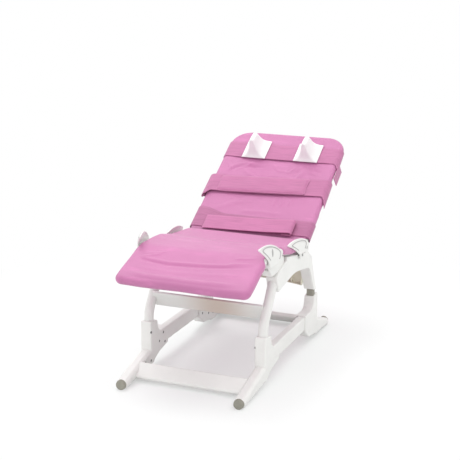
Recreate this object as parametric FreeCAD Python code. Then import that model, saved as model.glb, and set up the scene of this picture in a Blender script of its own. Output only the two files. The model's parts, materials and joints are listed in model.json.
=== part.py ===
import FreeCAD, Part
import math
import os

# Child bath chair: a reclining mesh sling on two side arches, whose four legs drop into a tub stand.
# Millimetres. X runs across, Y from the foot end to the head end, Z up from the floor.

# Side units, shared by the stand and the chair base
side_x = 190.0
unit_width = 36.0
wall = 3.0
edge_round = 4.0
rest_gap = 0.3
pin_gap = 0.05
overrun = 6.0
decimals = 3

# Places along the chair, from the front sockets
arch_front_y = 92.0
arch_length = 365.0
arch_base_z = 174.0
arch_height = 202.0
front_socket_lead = 84.0
rear_foot_lead = 4.0
rear_foot_y = arch_front_y + arch_length - rear_foot_lead
rear_socket_lead = 3.0
rear_socket_y = rear_foot_y + rear_socket_lead

# Stand, end mouldings: places along Y are counted from the socket, towards the middle of the stand
front_socket_y = arch_front_y - front_socket_lead
socket_height = 160.0
socket_drop = 8.0
socket_floor = 62.0
rear_socket_floor = 100.0
socket_round = 5.0
front_socket_outer = 22.0
front_socket_inner = 26.0
rear_socket_outer = 20.0
rear_socket_inner = 15.0
gusset_reach = 100.0
gusset_top = 110.0
gusset_bottom = 54.0
gusset_curve_share = 0.7143
gusset_neck = 8.0
front_heel_reach = 34.0
front_heel_height = 42.0
rear_heel_reach = 62.0
rear_heel_height = 26.0
heel_curve = 20.0
toe_height = 16.0
front_arm_reach = 200.0
rear_arm_reach = 154.0
arm_root_height = 68.0
arm_end_width = 26.4
arm_round = 12.0
cap_radius = 15.5
cap_front_radius = 14.6
cap_length = 12.0
cap_z = 14.5
cap_spigot_radius = 10.0
cap_spigot_length = 19.0
crossbar_width = 54.0
crossbar_thickness = 15.0
crossbar_round = 5.0
crossbar_tilt = 40.0
crossbar_inset = 4.0
front_crossbar_reach = 104.0
rear_crossbar_reach = 98.0
front_crossbar_height = 31.0
rear_crossbar_height = 25.0
rail_height = 48.0
rail_thickness = 26.0
rail_round = 5.0
rail_wall = 2.5
rail_bottom = 58.0
rail_inset = 20.0

# Screws that close the mouldings
screw_head_radius = 4.0
screw_head_height = 2.2
screw_radius = 1.9
screw_length = 26.0
screw_hole_gap = 0.2
boss_radius = 4.6
front_screw_places = ((66.0, 98.0), (-18.6, 125.0), (37.0, 78.0), (76.0, 64.0), (-62.0, 40.0), (-24.0, 34.0))
rear_screw_places = ((66.0, 98.0), (37.0, 78.0), (76.0, 64.0), (24.0, 48.0), (-56.0, 34.0), (-14.0, 40.0))

# Front legs
leg_radius = 15.0
leg_wall = 2.5
leg_slide_gap = 0.6
leg_bend_radius = 80.0
leg_bend_angle = 35.0
leg_bend_drop = 16.0
leg_bend_height = arch_base_z - leg_bend_drop
leg_run = 137.0
plug_length = 20.0
plug_flange = 4.0

# Rear feet of the chair base
foot_width = 24.0
foot_depth = 18.0
foot_round = 4.0
foot_top_gap = 0.5
foot_top = arch_base_z - foot_top_gap
foot_neck_width = 18.0
foot_neck_depth = 9.0
foot_neck_height = 12.0
foot_neck_lead = 4.0
foot_slide_gap = 0.6

# Side arches
arch_tip_share = (0.005, 0.48)
arch_crown_share = (0.405, 0.589)
arch_corner_share = (0.797, 0.475)
arch_leg_front_share = (0.94, 0.02)
arch_leg_back_share = (1.0, -0.005)
arch_shoulder_share = (0.879, 0.51)
arch_step_share = (0.87, 0.625)
arch_rear_share = (0.767, 0.748)
arch_saddle_share = (0.205, 0.93)
arch_notch_share = (0.197, 0.881)
arch_beak_top_share = (0.049, 0.812)
arch_beak_share = (-0.047, 0.728)
arch_crown_curve = 250.0
arch_corner_curve = 35.0
arch_small_curve = 3.0
arch_shoulder_curve = 30.0
arch_notch_curve = 8.0
lobe_recess = 5.0
rim_round = 2.4
hinge_x = 191.5
hinge_slot = 13.6
fan_gap = 1.0
fan_reach = 60.0
fan_middle_share = 0.5

# Knee and hip hinges
knee_share = (-0.1369863, 0.990099)
hip_share = (0.7178082, 0.8465347)
knee_y = arch_front_y + arch_length * knee_share[0]
knee_z = arch_base_z + arch_height * knee_share[1]
hip_y = arch_front_y + arch_length * hip_share[0]
hip_z = arch_base_z + arch_height * hip_share[1]
lobe_radius = 22.0
bracket_shares = ((-0.1150685, 0.7772277), (-0.1906849, 0.9425743), (-0.1534247, 1.0940594),
                  (0.1589041, 1.019802), (0.1589041, 0.8465347), (0.0054795, 0.7871287))
knee_fan = (98.0, 246.0)
hip_fan = (-30.0, 137.0)
eye_radius = 18.5
eye_thickness = 12.6
calf_neck = ((-8.0, 14.0), (18.0, 36.0), (39.9, 47.7), (39.9, 27.1), (24.0, 24.0), (13.0, -10.0))
back_neck = ((-6.0, 15.0), (14.0, 18.0), (27.9, 18.0), (27.9, -2.7), (10.0, -14.0))
hinge_pin_radius = 6.0
hinge_pin_head_radius = 11.0
hinge_pin_head = 3.0
bush_outer = 7.5

# Panel frames: tube and the fabric rolled round it
tube_radius = 12.5
tube_wall = 2.0
tube_x = 195.5
spigot_gap = 0.1
spigot_length = 26.0
spigot_root = 3.9
cover_thickness = 1.7
cover_radius = 14.5
cover_inner = 12.8
cover_room = 14.8
notch_half_width = 192.0

# Seat rails and seat cover, from hip to knee
# Their rear end is placed from the hip, the rest from the knee
seat_rail_rear_offset = (-22.0, 13.5)
seat_rail_mid_offset = (158.0, -2.5)
seat_rail_rise_offset = (76.0, 17.0)
seat_rail_front_offset = (24.5, 20.0)
seat_rail_bend = 120.0
seat_rail_places = ((hip_y + seat_rail_rear_offset[0], hip_z + seat_rail_rear_offset[1]),
                    (knee_y + seat_rail_mid_offset[0], knee_z + seat_rail_mid_offset[1]),
                    (knee_y + seat_rail_rise_offset[0], knee_z + seat_rail_rise_offset[1]),
                    (knee_y + seat_rail_front_offset[0], knee_z + seat_rail_front_offset[1]))
seat_cover_front_offset = (-22.0, 19.4)
seat_cover_front = (knee_y + seat_cover_front_offset[0], knee_z + seat_cover_front_offset[1])
seat_cover_rear_lead = 24.0
seat_cover_rear_y = hip_y - seat_cover_rear_lead
notch_reach = 89.0
notch_rear_y = knee_y + notch_reach

# Calf rest
calf_angle = 20.9
calf_length = 197.0
calf_rise = 37.4
calf_bend = 17.0
calf_tube_start = 40.0
calf_cover_start = 38.0
calf_sleeve_start = 60.0

# Backrest
back_angle = 32.0
back_length = 491.4
back_rise = 7.65
back_bend = 58.0
back_tube_start = 28.0
back_cover_start = 17.0
back_sleeve_start = 34.0
back_brace_share = 0.6105006
back_brace_place = back_length * back_brace_share
back_brace_radius = 8.0

# Straps, placed along the back from the hip pivot
strap_thickness = 1.8
strap_gap = 0.4
head_strap_start_share = 0.7488807
head_strap_start = back_length * head_strap_start_share
head_strap_width = 74.0
chest_strap_start_share = 0.4008954
chest_strap_start = back_length * chest_strap_start_share
chest_strap_width = 78.0
chest_strap_looseness = 3.0
chest_strap_slant = 2.9
chest_pad_left = -175.0
chest_pad_right = 140.0
chest_pad_thickness = 7.0
chest_pad_margin = 2.0
pelvic_band_start = 30.0
pelvic_band_width = 66.0
pelvic_belt_start = 24.0
pelvic_belt_width = 62.0
pelvic_belt_half = 150.0
pelvic_belt_lift = 15.0
pelvic_belt_thickness = 3.0
tail_start_share = 0.6064306
tail_start = back_length * tail_start_share
tail_width = 76.0
tail_thickness = 2.4
tail_rise = 1.0
tail_drop = 38.0
tail_lean = 4.0

# Head blocks
block_x = 95.0
block_width = 88.0
block_length = 90.0
block_height = 66.0
block_start_share = 0.7387057
block_start = back_length * block_start_share
block_round_share = 0.12
block_level_shares = ((0.0, 1.0, 1.0, 0.0), (0.07, 0.97, 0.98, 0.0), (0.25, 0.66, 0.86, 0.01),
                      (0.5, 0.4, 0.73, -0.01), (0.78, 0.22, 0.62, -0.02), (1.0, 0.1, 0.54, -0.04))

# Release levers: their sheets' points are across the chair, then forward and up from the lever's pin
lever_pin_x = 211.5
lever_pin_radius = 2.0
lever_barrel_radius = 3.8
lever_barrel_half = 15.8
lever_window = (-4.0, 10.0)
lever_ear = 4.0
lever_ear_gap = 0.2
lever_ear_radius = 2.9
lever_ear_room = 3.15
lever_ear_root = 1.5
lever_web_x = 215.4
lever_web_height = 14.0
lever_spring_room = 3.7
lever_thickness = 3.6
lever_rim_radius = 2.6
lever_room_half = 16.4
lever_room_low = 5.0
lever_room_high = 13.0
fork_x = 204.2
fork_thickness = 2.0
fork_half = 5.0
fork_low = 3.0
fork_high = 11.0
fork_link_low = 8.4
fork_slot_half = 1.7
fork_slot_high = 7.6
knee_lever_offset = (0.0, 9.0)
knee_lever_place = (knee_y + knee_lever_offset[0], knee_z + knee_lever_offset[1])
hip_lever_offset = (-69.0, -10.0)
hip_lever_place = (hip_y + hip_lever_offset[0], hip_z + hip_lever_offset[1])
knee_sheet = (
    ((215.8, -40.0, -8.0), (216.8, -2.0, -8.0), (216.8, 37.0, -9.0)),
    ((215.3, -50.0, 13.0), (219.3, -6.0, 13.0), (220.3, 37.0, 3.0)),
    ((205.8, -66.0, 36.0), (215.8, -16.0, 38.0), (222.3, 36.0, 14.0)),
    ((193.8, -79.0, 52.0), (208.8, -22.0, 54.0), (222.8, 34.0, 21.0)),
)
hip_sheet = (
    ((216.3, -17.0, 10.0), (216.8, 1.0, 10.0), (217.3, 19.0, 10.0)),
    ((215.8, -45.0, 27.0), (217.8, 0.0, 27.0), (218.8, 27.0, 22.0)),
    ((214.4, -79.0, 46.0), (217.8, -15.0, 45.0), (219.8, 34.0, 33.0)),
    ((206.3, -105.0, 59.0), (213.3, -17.0, 59.0), (219.8, 37.0, 42.0)),
)
ball_radius = 2.6
ball_x = 208.45
ball_rise = 5.0
stem_radius = 1.2
pad_radius = 3.4
pad_face_x = 197.9
knee_pad_outer_x = 203.5
hip_pad_disc_x = 199.2
hip_pad_bar_x = 202.2
hip_pad_lead = 4.0
hip_pad_offset = 14.0
hip_pad_y = hip_y - hip_pad_offset
pad_gap = 0.1
pad_travel = 1.4
spring_wire = 0.6
spring_radius = 2.9
spring_pitch = 1.45
spring_from = 4.7
spring_turns = 3.2
spring_steps = 15.0

# Bars of the chair base
front_bar_lead = 30.0
front_bar_rise = 64.0
front_bar_y = front_socket_y + front_bar_lead
front_bar_z = leg_bend_height + front_bar_rise
front_bar_width = 58.0
front_bar_thickness = 9.0
front_bar_round = 3.5
front_bar_tilt = 61.0
rear_bar_share = 0.8684932
rear_bar_y = arch_front_y + arch_length * rear_bar_share
rear_bar_depth = 13.0
rear_bar_lift = 22.0
rear_bar_height = 66.0
rear_bar_bottom = arch_base_z + rear_bar_lift
rear_bar_top = rear_bar_bottom + rear_bar_height
rear_bar_rise = 12.0
rear_bar_rib = 3.0
rear_bar_skin = 3.0
rear_bar_pockets = 10
arch_screw_shares = ((0.0767123, 0.6237624), (0.1589041, 0.7128713), (0.4054795, 0.7128713),
                     (0.6520548, 0.6237624), (0.8219178, 0.5990099), (0.9205479, 0.3019802), (0.969863, 0.1089109))
arch_screw_places = [(arch_front_y + arch_length * along, arch_base_z + arch_height * up)
                     for along, up in arch_screw_shares]


def vec(x, y, z):
    return FreeCAD.Vector(x, y, z)


ALONG_X = vec(1, 0, 0)
ALONG_Y = vec(0, 1, 0)
ALONG_Z = vec(0, 0, 1)
ORIGIN = vec(0, 0, 0)


def fused(shapes):
    """One shape from several that touch or cross."""
    if len(shapes) == 1:
        return shapes[0]
    return shapes[0].multiFuse(shapes[1:]).removeSplitter()


def cut(shape, tools):
    """The shape less each of the tools."""
    return shape.cut(tools[0] if len(tools) == 1 else tools[0].multiFuse(tools[1:])).removeSplitter()


def mirrored(shape):
    """The same piece on the left side."""
    return shape.mirror(ORIGIN, ALONG_X)


def box(low, high):
    """A block between two corners."""
    return Part.makeBox(high[0] - low[0], high[1] - low[1], high[2] - low[2], vec(*low))


def rod(start, end, radius):
    """A round bar between two points."""
    return Part.makeCylinder(radius, (end - start).Length, start, end - start)


def rounded_wire(points, radii, closed=True):
    """Straight runs through the points, with each corner turned on its radius."""
    count = len(points)
    edges = []
    ends = []
    for index, point in enumerate(points):
        radius = radii[index]
        if radius == 0 or not closed and index in (0, count - 1):
            ends.append((point, point))
            continue
        back = (points[index - 1] - point).normalize()
        ahead = (points[(index + 1) % count] - point).normalize()
        half = back.getAngle(ahead) / 2
        start = point + back * (radius / math.tan(half))
        end = point + ahead * (radius / math.tan(half))
        middle = point + (back + ahead).normalize() * (radius / math.sin(half) - radius)
        edges.append((index, Part.Arc(start, middle, end).toShape()))
        ends.append((start, end))
    runs = []
    arcs = dict(edges)
    for index in range(count):
        if index in arcs:
            runs.append(arcs[index])
        if index == count - 1 and not closed:
            break
        start = ends[index][1]
        end = ends[(index + 1) % count][0]
        if (end - start).Length > Part.Precision.confusion():
            runs.append(Part.makeLine(start, end))
    return Part.Wire(runs)


def side_points(pairs, x=0):
    return [vec(x, y, z) for y, z in pairs]


def side_solid(wire_face, x_from, x_to):
    """A face in the plane of the side view, drawn out across the chair."""
    face = wire_face.copy()
    face.translate(vec(x_from, 0, 0))
    return face.extrude(vec(x_to - x_from, 0, 0))


def inset(face, distance):
    """The same face with its edge moved inwards."""
    return face.makeOffset2D(-distance) if distance else face


def rims_at(shape, x_values):
    """The edges that lie flat in one of these planes across the chair."""
    found = []
    for edge in shape.Edges:
        bounds = edge.BoundBox
        for x in x_values:
            if max(abs(bounds.XMin - x), abs(bounds.XMax - x)) < pin_gap:
                found.append(edge)
    return found


def swept(wire, radius):
    """A round bar along a path."""
    start = wire.OrderedVertexes[0].Point
    heading = wire.OrderedEdges[0].tangentAt(wire.OrderedEdges[0].FirstParameter)
    if (wire.OrderedEdges[0].valueAt(wire.OrderedEdges[0].FirstParameter) - start).Length > radius:
        heading = wire.OrderedEdges[0].tangentAt(wire.OrderedEdges[0].LastParameter) * -1
    ring = Part.Wire(Part.makeCircle(radius, start, heading))
    return wire.makePipeShell([ring], True, True)


def tube(wire, outer, inner):
    """A round tube along a path."""
    return swept(wire, outer).cut(swept(wire, inner))


def halves(solid):
    """The inner and the outer half of a moulding, parted down its middle."""
    bounds = solid.BoundBox
    low = (bounds.XMin - overrun, bounds.YMin - overrun, bounds.ZMin - overrun)
    high = (bounds.XMax + overrun, bounds.YMax + overrun, bounds.ZMax + overrun)
    inner = solid.common(box(low, (side_x, high[1], high[2])))
    outer = solid.common(box((side_x, low[1], low[2]), high))
    return inner, outer


# Stand


def moulding_places(pairs, socket_y, way):
    """Side-view points of an end moulding, from distances measured from its socket towards the middle."""
    return [vec(0, socket_y + way * reach, z) for reach, z in pairs]


def moulding_body(socket_y, way, outer, inner, heel_reach, heel_height):
    """Face of the socket, the gusset and the heel in the side view."""
    pairs = ((-outer, socket_height), (inner, socket_height - socket_drop),
             (inner + gusset_neck, gusset_top), (gusset_reach, gusset_top),
             (gusset_reach, gusset_bottom), (heel_reach, heel_height), (-outer, toe_height))
    gusset_curve = (socket_height - socket_drop - gusset_top) * gusset_curve_share
    radii = (socket_round, socket_round, gusset_curve, edge_round, edge_round, heel_curve, edge_round)
    return Part.Face(rounded_wire(moulding_places(pairs, socket_y, way), radii))


def moulding_arm(socket_y, way, outer, reach):
    """Face of the foot arm in the side view."""
    low = cap_z - arm_end_width / 2
    end = -(reach - cap_length)
    pairs = ((0, arm_root_height), (-outer, arm_root_height), (end, low + arm_end_width), (end, low),
             (-outer, toe_height), (0, toe_height))
    return Part.Face(Part.makePolygon(moulding_places(pairs + pairs[:1], socket_y, way)))


def moulding_solid(body, arm, distance):
    """Body and arm of an end moulding, moved in by a distance from their outside."""
    x_from = side_x - unit_width / 2 + distance
    x_to = side_x + unit_width / 2 - distance
    block = side_solid(inset(body, distance), x_from, x_to)
    bar = side_solid(inset(arm, distance), x_from, x_to)
    if not distance:
        block = block.makeFillet(edge_round, rims_at(block, (x_from, x_to)))
    long_edges = [edge for edge in rims_at(bar, (x_from, x_to)) if edge.Length > unit_width * 2]
    bar = bar.makeFillet(arm_round - distance, long_edges)
    return block.fuse(bar).removeSplitter()


def moulding_screw_places(socket_y, way, places):
    return [(socket_y + way * reach, z) for reach, z in places]


def screw(y, z):
    """A countersunk-flat screw in from the inner face."""
    face_x = side_x - unit_width / 2
    head = rod(vec(face_x, y, z), vec(face_x + screw_head_height, y, z), screw_head_radius)
    shank = rod(vec(face_x, y, z), vec(face_x + screw_length, y, z), screw_radius)
    return fused([head, shank])


def screw_hole(y, z):
    """Room for one screw and its head."""
    face_x = side_x - unit_width / 2
    head = rod(vec(face_x - overrun, y, z), vec(face_x + screw_head_height + screw_hole_gap, y, z),
               screw_head_radius + screw_hole_gap)
    shank = rod(vec(face_x, y, z), vec(face_x + screw_length + screw_hole_gap, y, z),
                screw_radius + pin_gap)
    return head.fuse(shank)


def boss(y, z):
    """The post that a screw runs into, from wall to wall."""
    half = unit_width / 2 - wall / 2
    return rod(vec(side_x - half, y, z), vec(side_x + half, y, z), boss_radius)


def end_moulding(body, arm, well, well_block, rail_room, bar_room, cap_room, screws):
    """The two halves of an end moulding, hollow, with their socket and screw posts."""
    outside = moulding_solid(body, arm, 0)
    hollow = moulding_solid(body, arm, wall).cut(well_block)
    hollow = hollow.cut(fused([boss(y, z) for y, z in screws]))
    solid = outside.cut([hollow, well, rail_room, bar_room, cap_room] + [screw_hole(y, z) for y, z in screws])
    return halves(solid)


def stand_rail(y_from, y_to, gap):
    """The hollow side rail, or the room that it takes up."""
    half = rail_thickness / 2 + gap
    low = (side_x - half, y_from - gap, rail_bottom - gap)
    high = (side_x + half, y_to + gap, rail_bottom + rail_height + gap)
    return box(low, high)


def hollow_rail(y_from, y_to):
    bar = stand_rail(y_from, y_to, 0)
    long_edges = [edge for edge in bar.Edges if edge.Length > rail_height]
    bar = bar.makeFillet(rail_round, long_edges)
    half = rail_thickness / 2 - rail_wall
    core = box((side_x - half, y_from - overrun, rail_bottom + rail_wall),
               (side_x + half, y_to + overrun, rail_bottom + rail_height - rail_wall))
    return bar.cut(core)


def tilted_bar(y, z, width, thickness, tilt, half_span, gap, radius):
    """A flat bar across the chair, tilted about its length, or the room that it takes up."""
    low = (-half_span, -width / 2 - gap, -thickness / 2 - gap)
    high = (half_span, width / 2 + gap, thickness / 2 + gap)
    bar = box(low, high)
    long_edges = [edge for edge in bar.Edges if edge.Length > half_span]
    bar = bar.makeFillet(radius, long_edges)
    bar.rotate(ORIGIN, ALONG_X, tilt)
    bar.translate(vec(0, y, z))
    return bar


def foot_cap(socket_y, way, reach):
    """A round rubber foot cap with a flat under it and a spigot into the arm."""
    end = socket_y - way * reach
    mouth = socket_y - way * (reach - cap_length)
    body = Part.makeCone(cap_radius, cap_front_radius, cap_length, vec(side_x, mouth, cap_z),
                         vec(0, end - mouth, 0))
    body = body.makeFillet(edge_round, [edge for edge in body.Edges
                                        if abs(edge.BoundBox.Center.y - end) < pin_gap])
    above = box((side_x - unit_width, min(mouth, end) - overrun, 0),
                (side_x + unit_width, max(mouth, end) + overrun, cap_radius * 2))
    spigot = rod(vec(side_x, end + way * edge_round, cap_z), vec(side_x, mouth + way * cap_spigot_length, cap_z),
                 cap_spigot_radius)
    return fused([body.common(above), spigot])


def cap_hole(socket_y, way, reach):
    mouth = socket_y - way * (reach - cap_length)
    return rod(vec(side_x, mouth - way * overrun, cap_z),
               vec(side_x, mouth + way * (cap_spigot_length + screw_hole_gap), cap_z),
               cap_spigot_radius + pin_gap)


def front_well():
    """The round hole that a front leg drops into."""
    return rod(vec(side_x, front_socket_y, socket_floor), vec(side_x, front_socket_y, socket_height + overrun),
               leg_radius + leg_slide_gap)


def rear_well():
    """The square hole that a rear foot drops into."""
    half_width = foot_width / 2 + foot_slide_gap
    half_depth = foot_depth / 2 + foot_slide_gap
    hole = box((side_x - half_width, rear_foot_y - half_depth, rear_socket_floor),
               (side_x + half_width, rear_foot_y + half_depth, socket_height + overrun))
    upright = [edge for edge in hole.Edges if abs(edge.tangentAt(edge.FirstParameter).z) > pin_gap]
    return hole.makeFillet(foot_round, upright)


def well_block(socket_y, way, outer, inner, floor):
    """The part of a moulding that stays solid round its socket hole."""
    ends = sorted((socket_y - way * (outer + overrun), socket_y + way * inner))
    return box((side_x - unit_width, ends[0], floor - wall * 2),
               (side_x + unit_width, ends[1], socket_height + overrun))


def crossbar(reach, height, way, socket_y, gap):
    return tilted_bar(socket_y - way * reach, height, crossbar_width, crossbar_thickness,
                      way * crossbar_tilt, side_x - unit_width / 2 + crossbar_inset + gap, gap, crossbar_round)


def make_stand():
    """Everything of the tub stand."""
    pieces = {}
    ends = {
        "front": (front_socket_y, 1, front_socket_outer, front_socket_inner, front_heel_reach,
                  front_heel_height, front_arm_reach, socket_floor, front_crossbar_reach,
                  front_crossbar_height, front_well(), front_screw_places),
        "rear": (rear_socket_y, -1, rear_socket_outer, rear_socket_inner, rear_heel_reach,
                 rear_heel_height, rear_arm_reach, rear_socket_floor, rear_crossbar_reach,
                 rear_crossbar_height, rear_well(), rear_screw_places),
    }
    rail_from = front_socket_y + gusset_reach - rail_inset
    rail_to = rear_socket_y - gusset_reach + rail_inset
    rail_room = stand_rail(rail_from, rail_to, pin_gap)
    caps = []
    screws = []
    for name, values in ends.items():
        socket_y, way, outer, inner, heel, heel_z, reach, floor, bar_reach, bar_z, well, places = values
        body = moulding_body(socket_y, way, outer, inner, heel, heel_z)
        arm = moulding_arm(socket_y, way, outer, reach)
        block = well_block(socket_y, way, outer, inner, floor)
        spots = moulding_screw_places(socket_y, way, places)
        shells = end_moulding(body, arm, well, block, rail_room,
                              crossbar(bar_reach, bar_z, way, socket_y, pin_gap),
                              cap_hole(socket_y, way, reach), spots)
        for side, shell in zip(("inner", "outer"), shells):
            pieces[f"stand_{name}_{side}_shell_right"] = shell
            pieces[f"stand_{name}_{side}_shell_left"] = mirrored(shell)
        pieces[f"stand_{name}_crossbar"] = crossbar(bar_reach, bar_z, way, socket_y, 0)
        cap = foot_cap(socket_y, way, reach)
        caps += [cap, mirrored(cap)]
        for y, z in spots:
            screws += [screw(y, z), mirrored(screw(y, z))]
    rail = hollow_rail(rail_from, rail_to)
    pieces["stand_side_rail_right"] = rail
    pieces["stand_side_rail_left"] = mirrored(rail)
    pieces["stand_foot_caps"] = Part.Compound(caps)
    pieces["stand_screws"] = Part.Compound(screws)
    return pieces


# Chair base


def arch_point(share):
    """A point of the arch's side view from its shares of the arch's length and height."""
    return vec(0, arch_front_y + arch_length * share[0], arch_base_z + arch_height * share[1])


def arch_face():
    """The side view of an arch, from its front tip over the hip to the rear leg."""
    corners = (
        (arch_tip_share, arch_small_curve), (arch_crown_share, arch_crown_curve),
        (arch_corner_share, arch_corner_curve), (arch_leg_front_share, arch_small_curve),
        (arch_leg_back_share, arch_small_curve), (arch_shoulder_share, arch_shoulder_curve),
        (arch_step_share, arch_small_curve), (arch_rear_share, arch_small_curve),
        (arch_saddle_share, arch_small_curve), (arch_notch_share, arch_small_curve),
        (arch_beak_top_share, arch_notch_curve), (arch_beak_share, arch_small_curve),
    )
    points = [arch_point(share) for share, radius in corners]
    return Part.Face(rounded_wire(points, [radius for share, radius in corners]))


def hub_face(y, z):
    """The round end of an arch at one of its hinges."""
    return Part.Face(Part.Wire(Part.makeCircle(lobe_radius, vec(0, y, z), ALONG_X)))


def bracket_face():
    """The side view of the knee bracket, between the arch and the knee hub."""
    points = [arch_point(share) for share in bracket_shares]
    return Part.Face(rounded_wire(points, [arch_small_curve] * len(points)))


def arch_outside(distance):
    """An arch with its hubs and knee bracket, moved in by a distance from the outside."""
    x_from = side_x - unit_width / 2 + distance
    x_to = side_x + unit_width / 2 - distance
    x_lobe = x_to - lobe_recess
    plates = ((arch_face(), x_to), (hub_face(hip_y, hip_z), x_to),
              (bracket_face(), x_lobe), (hub_face(knee_y, knee_z), x_lobe))
    made = []
    for face, outer_x in plates:
        solid = side_solid(inset(face, distance), x_from, outer_x)
        if not distance:
            solid = solid.makeFillet(rim_round, rims_at(solid, (x_from, outer_x)))
        made.append(solid)
    return fused(made)


def hub_block(y, z):
    """The solid part of an arch round a hinge."""
    return rod(vec(side_x - unit_width, y, z), vec(side_x + unit_width, y, z), lobe_radius - wall / 2)


def swing_fan(y, z, from_angle, to_angle, reach):
    """The slot that a hinge plate turns in."""
    half = hinge_slot / 2
    eye = rod(vec(hinge_x - half, y, z), vec(hinge_x + half, y, z), eye_radius + fan_gap)
    centre = vec(hinge_x - half, y, z)
    spread = to_angle - from_angle
    rim = [centre + vec(0, math.cos(math.radians(from_angle + spread * share)),
                        math.sin(math.radians(from_angle + spread * share))) * reach
           for share in (0, fan_middle_share, 1)]
    wire = Part.Wire([Part.makeLine(centre, rim[0]), Part.Arc(*rim).toShape(), Part.makeLine(rim[-1], centre)])
    return eye.fuse(Part.Face(wire).extrude(vec(hinge_slot, 0, 0)))


def pin_hole(y, z):
    return rod(vec(side_x - unit_width, y, z), vec(side_x + unit_width, y, z), hinge_pin_radius + pin_gap)


def pin_head_room(y, z):
    face_x = side_x - unit_width / 2
    return rod(vec(face_x - overrun, y, z), vec(face_x + hinge_pin_head, y, z), hinge_pin_head_radius + pin_gap)


def hinge_pin(y, z, outer_x):
    """A pivot pin, its head let into the inner face."""
    face_x = side_x - unit_width / 2
    head = rod(vec(face_x, y, z), vec(face_x + hinge_pin_head, y, z), hinge_pin_head_radius)
    return fused([head, rod(vec(face_x, y, z), vec(outer_x, y, z), hinge_pin_radius)])


def hinge_bush(y, z):
    """A bush between a pivot pin and its hinge plate."""
    half = eye_thickness / 2
    start = vec(hinge_x - half, y, z)
    end = vec(hinge_x + half, y, z)
    return rod(start, end, bush_outer).cut(rod(start, end, hinge_pin_radius + pin_gap))


def leg_wire(extra=0):
    """The centreline of a front leg, from its foot up into the arch."""
    bend = math.radians(leg_bend_angle)
    foot = vec(side_x, front_socket_y, socket_floor + rest_gap + plug_flange)
    low = vec(side_x, front_socket_y, leg_bend_height)
    high = low + vec(0, leg_bend_radius * (1 - math.cos(bend)), leg_bend_radius * math.sin(bend))
    middle = low + vec(0, leg_bend_radius * (1 - math.cos(bend / 2)), leg_bend_radius * math.sin(bend / 2))
    end = high + vec(0, math.sin(bend), math.cos(bend)) * (leg_run + extra)
    return Part.Wire([Part.makeLine(foot, low), Part.Arc(low, middle, high).toShape(), Part.makeLine(high, end)])


def leg_end_cap():
    """The rubber plug under a front leg."""
    base = vec(side_x, front_socket_y, socket_floor + rest_gap)
    flange = rod(base, base + ALONG_Z * plug_flange, leg_radius)
    plug = rod(base, base + ALONG_Z * plug_length, leg_radius - leg_wall - pin_gap)
    return fused([flange, plug])


def rear_foot(gap):
    """The square rubber foot under a rear leg, or the hole for its neck."""
    bottom = rear_socket_floor + rest_gap
    half_width = foot_width / 2
    half_depth = foot_depth / 2
    block = box((side_x - half_width, rear_foot_y - half_depth, bottom),
                (side_x + half_width, rear_foot_y + half_depth, foot_top))
    upright = [edge for edge in block.Edges if abs(edge.tangentAt(edge.FirstParameter).z) > pin_gap]
    block = block.makeFillet(foot_round, upright)
    neck_y = rear_foot_y - foot_neck_lead
    neck = box((side_x - foot_neck_width / 2 - gap, neck_y - foot_neck_depth / 2 - gap, foot_top - edge_round),
               (side_x + foot_neck_width / 2 + gap, neck_y + foot_neck_depth / 2 + gap,
                foot_top + foot_neck_height + gap))
    return neck if gap else fused([block, neck])


def seat_rail_wire():
    """The centreline of a seat rail in the side view at its place across the chair."""
    return rounded_wire(side_points(seat_rail_places, tube_x), [0, seat_rail_bend, seat_rail_bend, 0], False)


def raised_line(distance):
    """The line of the seat rail, carried on to the front of the fabric and moved up off it."""
    places = side_points(seat_rail_places + (seat_cover_front,))
    points = []
    radii = []
    for index, point in enumerate(places):
        before = places[max(index - 1, 0)]
        after = places[min(index + 1, len(places) - 1)]
        into = (point - before).normalize() if index else (after - point).normalize()
        out = (after - point).normalize() if after != point else into
        up_in = vec(0, into.z, -into.y)
        up_out = vec(0, out.z, -out.y)
        bisector = (up_in + up_out).normalize()
        points.append(point + bisector * (distance / bisector.dot(up_in)))
        turn = into.y * out.z - into.z * out.y
        ends = index in (0, len(places) - 1)
        radii.append(0 if ends else seat_rail_bend + (distance if turn > 0 else -distance))
    return points, radii


def seat_cover_outline():
    """The side view of the seat fabric between its upper and lower face."""
    upper, upper_radii = raised_line(cover_radius)
    lower, lower_radii = raised_line(cover_inner)
    return Part.Face(rounded_wire(upper + lower[::-1], upper_radii + lower_radii[::-1]))


def seat_cover():
    """The seat fabric, with its hems rolled round the rails."""
    outline = seat_cover_outline()
    rear = box((-unit_width * 6, notch_rear_y, 0), (unit_width * 6, seat_cover_rear_y, knee_z * 2))
    front = box((-unit_width * 6, 0, 0), (unit_width * 6, seat_cover_rear_y, knee_z * 2))
    middle = side_solid(outline, -notch_half_width, notch_half_width).common(front)
    hem = tube(seat_rail_wire(), cover_radius, cover_inner).common(rear)
    return fused([middle, hem, mirrored(hem)])


def base_front_bar():
    """The flat bar between the front legs, tilted with them."""
    bar = tilted_bar(front_bar_y, front_bar_z, front_bar_width, front_bar_thickness,
                     -front_bar_tilt, side_x - leg_radius / 2, 0, front_bar_round)
    leg = swept(leg_wire(), leg_radius + pin_gap)
    return bar.cut([leg, mirrored(leg)])


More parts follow.
